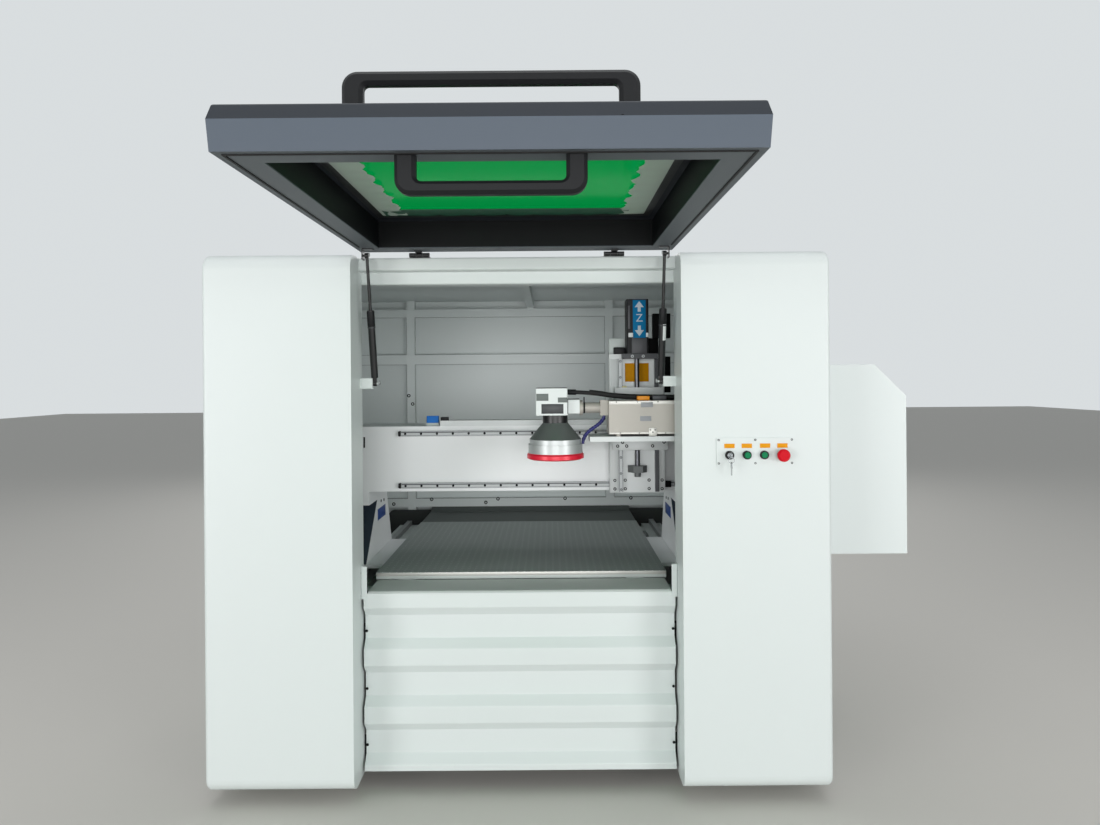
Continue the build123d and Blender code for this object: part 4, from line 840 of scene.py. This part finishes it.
# %% [markdown]
# A cable chain serves the carriage. What shows of it is the black end of the chain and the grey box that it
# enters left of the motor, and at the right the dark arm that carries it, in three pieces with a seal at the
# bottom.

# %% Cable chain
chain_end = plate("chain_end", (0.346, -0.349, 1.454), (0.389, -0.331, 1.480), 0.003)
fit(chain_end, "x_carriage", "black_plastic")
chain_face, chain_back = -0.3285, -0.300
chain_box = plate("chain_box", (0.330, chain_face, 1.4545), (0.389, chain_back, 1.514), 0.002)
fit(chain_box, "x_carriage", "grey_paint")
arm_spans = (
    ((0.4957, 0.562), (1.514, 1.607)), ((0.4715, 0.516), (1.4545, 1.5145)), ((0.5335, 0.561), (1.309, 1.445))
)
arm = [plate("arm", (x0, chain_face, z0), (x1, chain_back, z1), 0.002) for (x0, x1), (z0, z1) in arm_spans]
arm.append(plate("seal", (0.5335, chain_face, 0.953), (0.560, -0.3175, 0.976), 0.001))
fit(joined("chain_arm", arm), "x_carriage", "black_plastic", black_oxide)
print("pieces of the arm", len(arm))

# %% [markdown]
# ## Laser box
# The box is a folded cover, nickel plated, with brighter lips at its top and bottom, held by small screws.
# Its two stickers are plain, without lettering. The lips stand out by a millimetre, so they are plates of
# their own and catch the light as the folded edges do.

# %% Lips, stickers and screws of the laser box
bright_lip = finish("bright_lip", "#C9C8C3", 0.40, 0.4)
plain_label = finish("plain_label", "#93969B", 0.55)
box_face = -0.610
lip_thick, lip_across = 0.001, (0.3065, 0.6115)
lips = [
    front_plate("lip", box_face, lip_thick, lip_across, lip_up, 0.0003)
    for lip_up in ((1.276, 1.2875), (1.1755, 1.181))
]
fit(joined("box_lips", lips), "z_head", "nickel", bright_lip)
lip_face = box_face - lip_thick
lip_head = (0.0022, 0.0008)
lip_places = [(x, lip_face, 1.284) for x in (0.331, 0.403, 0.472, 0.545)]
lip_places += [(x, lip_face, 1.178) for x in (0.344, 0.408, 0.497, 0.560)]
screws("box_screws", lip_places, lip_head, "-y", "z_head", "black_plastic")
stickers = [
    plate("sticker", (0.414, box_face - 0.0014, 1.266), (0.455, box_face - 0.0009, 1.283), 0.0001),
    front_plate("sticker", box_face, 0.0004, (0.411, 0.449), (1.219, 1.236), 0.0001),
]
fit(joined("box_stickers", stickers), "z_head", "white_housing", plain_label)
print("lips", len(lips), "stickers", len(stickers))

# %% Tab, cap and plug of the laser box
tab_face = box_face - 0.003
tab = plate("box_tab", (0.440, tab_face, 1.169), (0.467, lip_face, 1.196), 0.0008)
fit(tab, "z_head", "nickel", bright_lip)
tab_head = (0.0028, 0.0012)
tab_places = [(0.4455, tab_face, 1.189), (0.4615, tab_face, 1.189), (0.4535, tab_face, 1.181)]
screws("tab_screws", tab_places, tab_head, "-y", "z_head", "black_plastic")
orange_cap = finish("orange_cap", "#F09600", 0.45)
top_front, top_back, box_top = -0.572, -0.546, 1.288
cap = plate("box_cap", (0.407, top_front, box_top), (0.449, top_back, 1.303), 0.002)
fit(cap, "z_head", "red_plastic", orange_cap)
plug = plate("box_plug", (0.459, top_front, box_top), (0.507, top_back, 1.305), 0.003)
fit(plug, "z_head", "dark_aluminium")
print("tab screws", len(tab_places))

# %% [markdown]
# ## Head bracket
# The bracket under the laser box is held by a bar with five black screws. Their places are uneven, as the
# maker drilled them, so they are a list. Two more screws hold the box's end plate, and a pale yellow wiper
# sits on the left rail above the head.

# %% Head bracket, its screws and the wiper
bar_face, bar_back = -0.401, -0.395
bar = plate("head_bar", (0.334, bar_face, 1.101), (0.536, bar_back, 1.136), 0.001)
fit(bar, "z_head", "plate_aluminium")
bar_sites = [(0.353, 1.114), (0.386, 1.114), (0.371, 1.128), (0.481, 1.114), (0.523, 1.128)]
bar_places = [(x, bar_face, z) for x, z in bar_sites]
bar_head = (0.006, 0.003)
screws("head_bar_screws", bar_places, bar_head, "-y", "z_head", "black_plastic")
end_places = [(0.279, -0.568, z) for z in (1.246, 1.281)]
end_head = (0.003, 0.002)
screws("end_plate_screws", end_places, end_head, "-x", "z_head", "black_plastic")
wiper_yellow = finish("wiper_yellow", "#EFE6A6", 0.6)
wiper = plate("rail_wiper", (0.374, -0.377, 1.320), (0.391, -0.360, 1.335), 0.003)
fit(wiper, "z_head", "white_housing", wiper_yellow)
print("bar", bar_face, "to", bar_back)

# %% [markdown]
# ## Scanner
# The scanner's white housing is closed by a thin black sheet at its top. Its front has two dark printed
# panels and a grille, its port is edged in black, and a cable tie goes round the beam tube. The tie is a thin
# ring with a short tail, joined to one piece.

# %% Scanner housing and the tie on the beam tube
slate_print = finish("slate_print", "#5F6664", 0.45)
dark_print = finish("dark_print", "#2B2E31", 0.4)
galvo_face = -0.601
lid = plate("galvo_lid", (0.0585, -0.6005, 1.332), (0.1655, -0.5015, 1.3336), 0.0005)
fit(lid, "z_head", "black_plastic")
panel_spans = (((0.060, 0.101), (1.290, 1.314)), ((0.133, 0.1655), (1.284, 1.301)))
panels = [front_plate("panel", galvo_face, 0.0008, across, up, 0.0004) for across, up in panel_spans]
fit(joined("galvo_panels", panels), "z_head", "dark_aluminium", slate_print)
grille = front_plate("galvo_grille", galvo_face, 0.001, (0.077, 0.152), (1.246, 1.279), 0.003)
fit(grille, "z_head", "black_plastic", dark_print)
port_edges = [
    plate("edge", (0.166, -0.5752, 1.293), (0.208, -0.527, 1.295), 0.0004),
    plate("edge", (0.1665, -0.5765, 1.244), (0.1685, -0.575, 1.294), 0.0004),
]
fit(joined("port_edges", port_edges), "z_head", "black_plastic")
tie = ring("tube_tie", (0.2245, -0.551, 1.2635), 0.0195, 0.0012, 0.005, "x")
tail = plate("tail", (0.2225, -0.552, 1.2825), (0.2265, -0.5505, 1.301), 0.0004)
fit(joined("tube_tie", [tie, tail]), "z_head", "black_plastic")
print("panels", len(panels), "port edges", len(port_edges))

# %% [markdown]
# ## Cable and air hose of the head
# Both lie on a NURBS curve, which is smooth all along as a real cable is. Its few points are listed, and a
# bevel depth gives it its thickness. A second helper reads the places that Blender works out for the curve,
# so that other pieces can follow it.

# %% Helpers for the curve of a cord
def cord_curve(name, points, radius):
    """A round cord on a smooth curve."""
    curve = bpy.data.curves.new(name, "CURVE")
    curve.dimensions = "3D"
    curve.bevel_depth = radius
    curve.bevel_resolution = 4
    curve.use_fill_caps = True
    spline = curve.splines.new("NURBS")
    spline.points.add(len(points) - 1)
    for point, place in zip(spline.points, points):
        point.co = (*place, 1)
    spline.order_u = 3
    spline.use_endpoint_u = True
    cord = bpy.data.objects.new(name, curve)
    scene.collection.objects.link(cord)
    return cord


def path_of(points):
    """The places that a cord's curve runs through, as Blender works them out."""
    bare = cord_curve("bare_route", points, 0)
    line = bpy.data.meshes.new_from_object(bare)
    path = [vertex.co.copy() for vertex in line.vertices]
    bpy.data.objects.remove(bare)
    bpy.data.meshes.remove(line)
    return path


cable_route = [(0.166, -0.551, 1.318), (0.236, -0.551, 1.318), (0.366, -0.541, 1.295), (0.552, -0.531, 1.295)]
hose_route = [
    (0.2925, -0.566, 1.2375), (0.2925, -0.566, 1.2175), (0.2188, -0.566, 1.172), (0.2188, -0.566, 1.140)
]
cable_path, hose_path = path_of(cable_route), path_of(hose_route)
print("places on the cable", len(cable_path), "and on the hose", len(hose_path))

# %% [markdown]
# The cable leaves the scanner through a gland and runs back over the laser box in a thicker sleeve with fine
# ribs, so its sleeve is a row of rings that touch. The hose is of the jointed kind, a row of beads on its
# curve. One shape is modelled for each row, and copies of it are set along the path and turned to run with
# it.

# %% Helpers for rows along a cord
def round_bar(name, radius, length):
    """An upright cylinder about the origin."""
    bpy.ops.object.select_all(action="DESELECT")
    bpy.ops.mesh.primitive_cylinder_add(vertices=24, radius=radius, depth=length, location=origin)
    return settle(called(name))


def along_path(name, shape, path, start, pitch, count, lift=0.0):
    """One mesh with copies of the shape along a path, each turned to run with it."""
    travelled = [0.0]
    for before, after in zip(path, path[1:]):
        travelled.append(travelled[-1] + (after - before).length)
    moves = []
    for number in range(count):
        wanted = start + pitch * number
        index = max(n for n in range(len(path) - 1) if travelled[n] <= wanted)
        ahead = path[index + 1] - path[index]
        middle = path[index] + ahead.normalized() * (wanted - travelled[index]) + Vector((0, 0, lift))
        turn = ahead.to_track_quat("Z", "Y").to_matrix().to_4x4()
        moves.append(Matrix.Translation(middle) @ turn)
    print(name, count)
    return at_places(name, shape, moves)


# %% Scanner cable with its gland and sleeve
cable_length, cable_thick = 0.385, 0.014
gland_start = 0.016
sleeve_start, sleeve_pitch, sleeve_rings, sleeve_lift = 0.080, 0.006, 50, 0.0022
cable = fit(cord_curve("scanner_cable", cable_route, cable_thick / 2), "z_head", "black_rubber")
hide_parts("head_cable")
gland = bevelled(round_bar("gland", 0.0095, 0.030), 0.001)
gland = along_path("cable_gland", gland, cable_path, gland_start, pitch=0, count=1)
fit(gland, "z_head", "black_plastic")
sleeve = bevelled(round_bar("sleeve", 0.0092, 0.0062), 0.0006)
sleeve = along_path("cable_sleeve", sleeve, cable_path, sleeve_start, sleeve_pitch, sleeve_rings, sleeve_lift)
fit(sleeve, "z_head", "black_rubber")
print("cable", cable_length, "m")

# %% Cooling hose with its beads
hose_length, hose_thick = 0.125, 0.010
bead_start, bead_pitch, bead_count = 0.012, 0.0098, 11
hose = fit(cord_curve("cooling_hose", hose_route, hose_thick / 2), "z_head", "blue_plastic", navy_beads)
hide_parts("air_hose")
bead = bevelled(round_bar("bead", 0.0064, 0.0084), 0.002)
beads = along_path("hose_beads", bead, hose_path, bead_start, bead_pitch, bead_count)
fit(beads, "z_head", "blue_plastic", navy_beads)
print("hose", hose_length, "m")

# %% [markdown]
# ## Worktable and ledge
# The table is a grey coated plate with a bright milled front edge, and a grey skirt closes the gap below it.
# Behind the table an apron rises to the rear wall, and its dark grey is painted shade. It is a plate whose
# rear points are lifted.

# %% Edge, skirt and apron of the table
table_across = (-0.510, 0.510)
table_front = -0.510
table_edge = front_plate("table_edge", table_front, 0.0015, table_across, (0.674, 0.6862), 0.0005)
fit(table_edge, "enclosure", "plate_aluminium", bright_lip)
# The skirt takes the ledge's pale grey, whose greying is painted shade.
skirt = plate("table_skirt", (table_across[0], -0.5112, 0.6635), (table_across[1], -0.5085, 0.6745), 0.0004)
fit(skirt, "enclosure", "grey_paint", pale_grey_painted_shade)
apron_x, apron_front, apron_rear, apron_bottom, apron_top = 0.508, 0.6805, 0.7285, 0.684, 0.687
apron_middle, apron_rise = 0.70, 0.018
apron = plate("rear_apron", (-apron_x, apron_front, apron_bottom), (apron_x, apron_rear, apron_top), 0.0006)
for vertex in apron.data.vertices:
    vertex.co.z += apron_rise if vertex.co.y > apron_middle else 0
# The apron's dark grey is painted shade.
fit(apron, "enclosure", "table_grey")
print("apron rises", apron_rise, "m")

# %% [markdown]
# ## Rear wall
# Below the gantry the rear wall opens to a dark hollow with round upper corners. Nothing in it can be seen,
# so a thin dark plate paints the shade in it. Only its two upper corner edges are rounded: they are found by
# their place, selected and bevelled. The sheets of the wall meet its posts and rails in fine gaps, and thin
# dark plates paint the shade in those gaps.

# %% Dark hollow
rear_shade = finish("rear_shade", "#272C2A", 0.7)
hollow_x, hollow_bottom, hollow_top = 0.735, 0.450, 0.690
hollow_radius = 0.035
hollow = block("rear_hollow", (-hollow_x, 0.7275, hollow_bottom), (hollow_x, 0.7290, hollow_top))
bpy.ops.object.mode_set(mode="EDIT")
bpy.ops.mesh.select_mode(type="EDGE")
bpy.ops.mesh.select_all(action="DESELECT")
bpy.ops.object.mode_set(mode="OBJECT")
for edge in hollow.data.edges:
    first, second = (hollow.data.vertices[n].co for n in edge.vertices)
    edge.select = first.z > 0.6 and abs(first.x - second.x) + abs(first.z - second.z) < 1e-6
bpy.ops.object.mode_set(mode="EDIT")
bpy.ops.mesh.bevel(offset=hollow_radius, segments=6)
bpy.ops.object.mode_set(mode="OBJECT")
fit(hollow, "enclosure", "black_paint", rear_shade)
print("hollow", 2 * hollow_x, "m wide")

# %% Gaps round the sheets of the rear wall
gap_back = 0.7301
gap_depth, gap_half = 0.0008, 0.0012
bays = ((-0.975, -0.633), (-0.591, 0.392), (0.434, 0.975))
gap_heights = (0.748, 1.440, 1.490, 1.684)
gap_columns = (-0.633, -0.591, 0.392, 0.434)
gap_runs = ((0.748, 1.440), (1.490, 1.684))
# Thin dark plates paint the shade in the gaps round the sheets.
gaps = [
    front_plate("gap", gap_back, gap_depth, bay, (z - gap_half, z + gap_half), 0.0002)
    for z in gap_heights for bay in bays
]
gaps += [
    front_plate("gap", gap_back, gap_depth, (x - gap_half, x + gap_half), run, 0.0002)
    for x in gap_columns for run in gap_runs
]
fit(joined("frame_gaps", gaps), "enclosure", "black_paint")
print("gaps", len(gaps))

# %% [markdown]
# ## Panels and their screws
# Black socket screws hold the ribbed panel below the door, the stop plates beside it, the rear wall and the
# control panel. The faces that they stand on are read from the frame where a solid gives them.

# %% Screws of the panels
groove_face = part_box("lower_panel")[0][1] + 0.0125
panel_rows = (0.528, 0.336, 0.149)
lower_places = [(side * 0.5105, groove_face, z) for side in (-1, 1) for z in panel_rows]
lower_head = (0.0068, 0.003)
screws("lower_panel_screws", lower_places, lower_head, "-y", "enclosure", "black_plastic")
stop_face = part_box("stop_plates")[0][1]
stop_places = [(side * 0.5285, stop_face, z) for side in (-1, 1) for z in (0.650, 0.726)]
stop_head = (0.004, 0.001)
screws("stop_screws", stop_places, stop_head, "-y", "enclosure", "steel", dark_anodised)
wall_face = 0.729
wall_sites = [
    (-0.706, 0.718), (-0.510, 0.741), (-0.230, 0.723), (-0.167, 0.741), (0.180, 0.741), (0.520, 0.741),
    (-0.624, 1.278), (-0.604, 1.235), (0.402, 1.278), (0.422, 1.235),
]
wall_places = [(x, wall_face, z) for x, z in wall_sites]
wall_head = (0.009, 0.004)
screws("wall_screws", wall_places, wall_head, "-y", "enclosure", "black_plastic")

# %% [markdown]
# The control panel is held by six screws in two rows. Its four devices have amber tags, which are left
# plain, and one loop makes them from the place of each device. The lock has a black ring round its plug.

# %% Control panel
panel_face = -0.773
panel_middle, panel_step = 0.756, 0.116
panel_places = [
    (panel_middle + step, panel_face, z) for step in (-panel_step, 0, panel_step) for z in (1.092, 1.166)
]
panel_head = (0.0035, 0.0015)
screws("panel_screws", panel_places, panel_head, "-y", "enclosure", "black_plastic")
amber_plastic = finish("amber_plastic", "#DD9400", 0.45, Specular_IOR_Level=0.15)
tag_columns = (0.674, 0.729, 0.787, 0.842)
tag_half, tag_up = 0.0165, (1.141, 1.155)
tags = [
    front_plate("tag", panel_face, 0.001, (x - tag_half, x + tag_half), tag_up, 0.0005) for x in tag_columns
]
fit(joined("device_tags", tags), "enclosure", "white_housing", amber_plastic)
lock_ring = ring("lock_ring", (0.6735, -0.7838, 1.119), 0.0128, 0.003, 0.0016, "y")
fit(lock_ring, "enclosure", "black_plastic")
print("tags", len(tags))

# %% [markdown]
# ## Floor and backdrop
# The machine stands on a pale floor, which keeps its shadow and is no part of the machine. The world is the
# backdrop too. It has to look bright without lighting the machine too much, so its strength depends on what
# kind of ray meets it: what the camera, a reflection or the window shows is brighter than the light it gives.

# %% Floor
floor_finish = grain(finish("floor_finish", "#D8D5CF", 0.60), 6.0, 0.08)
floor_size = 40
floor_middle = (0, 8, 0)
bpy.ops.object.select_all(action="DESELECT")
bpy.ops.mesh.primitive_plane_add(size=floor_size, location=floor_middle)
floor = coat(bpy.context.active_object, floor_finish)
floor.name = "floor"
print("floor", floor_size, "m")

# %% World
light_strength = 0.28
seen_strength = 0.85
world = bpy.data.worlds.new("hall_light")
scene.world = world
world.use_nodes = True
sky = world.node_tree.nodes["Background"]
sky.inputs["Color"].default_value = srgb("#E9EEF0")
rays = node(world, "ShaderNodeLightPath")
direct = [(0, rays, "Is Camera Ray"), (1, rays, "Is Glossy Ray")]
seen = node(world, "ShaderNodeMath", direct, operation="MAXIMUM")
through = [(0, seen, "Value"), (1, rays, "Is Transmission Ray")]
seen = node(world, "ShaderNodeMath", through, operation="MAXIMUM")
level = node(world, "ShaderNodeMapRange", [("Value", seen, "Value")])
level.inputs["To Min"].default_value = light_strength
level.inputs["To Max"].default_value = seen_strength
world.node_tree.links.new(level.outputs["Result"], sky.inputs["Strength"])
print("world", light_strength, seen_strength)

# %% [markdown]
# ## Lamps
# The hall lights the machine evenly from the front, through doors and windows, and from its roof. Three wide
# lamps stand for the front, one above for the roof and two weak ones for side windows. One behind separates
# the machine from the backdrop, and a very weak one lifts the shade inside the cabinet. Those last two
# would show in the picture or through the window, so the camera and the window don't see them.

# %% Lamps
def lamp(name, place, aim, width, height, power):
    """A rectangular area lamp that points from one place to another."""
    light = bpy.data.lights.new(name, "AREA")
    light.shape = "RECTANGLE"
    light.energy = power
    light.size = width
    light.size_y = height
    holder = bpy.data.objects.new(name, light)
    holder.location = place
    holder.rotation_euler = (Vector(aim) - Vector(place)).to_track_quat("-Z", "Y").to_euler()
    scene.collection.objects.link(holder)
    return holder


lamp("hall_light", place=(0.2, -9.0, 1.3), aim=(0, 0, 1.05), width=5, height=3, power=240)
lamp("hall_left", place=(-6, -7, 1.4), aim=(0.4, -0.3, 1.0), width=3, height=3, power=215)
lamp("hall_right", place=(6, -7, 1.4), aim=(-0.4, -0.3, 1.0), width=3, height=3, power=215)
fill = lamp("cabinet_fill", place=(-0.05, 0, 1.32), aim=(-0.05, 0.75, 0.95), width=1.4, height=0.2, power=1.5)
lamp("roof_light", place=(0, -1.5, 6), aim=(0, 0, 0.6), width=5, height=5, power=90)
back = lamp("back_light", place=(0, 7, 3.2), aim=(0, 0.7, 1), width=5, height=3, power=110)
for unseen in (fill, back):
    unseen.visible_camera = False
    unseen.visible_transmission = False
lamp("window_left", place=(-5, -3, 3), aim=(0, 0, 1), width=3, height=3, power=15)
lamp("window_right", place=(5, -3, 3), aim=(0, 0, 1), width=3, height=3, power=15)
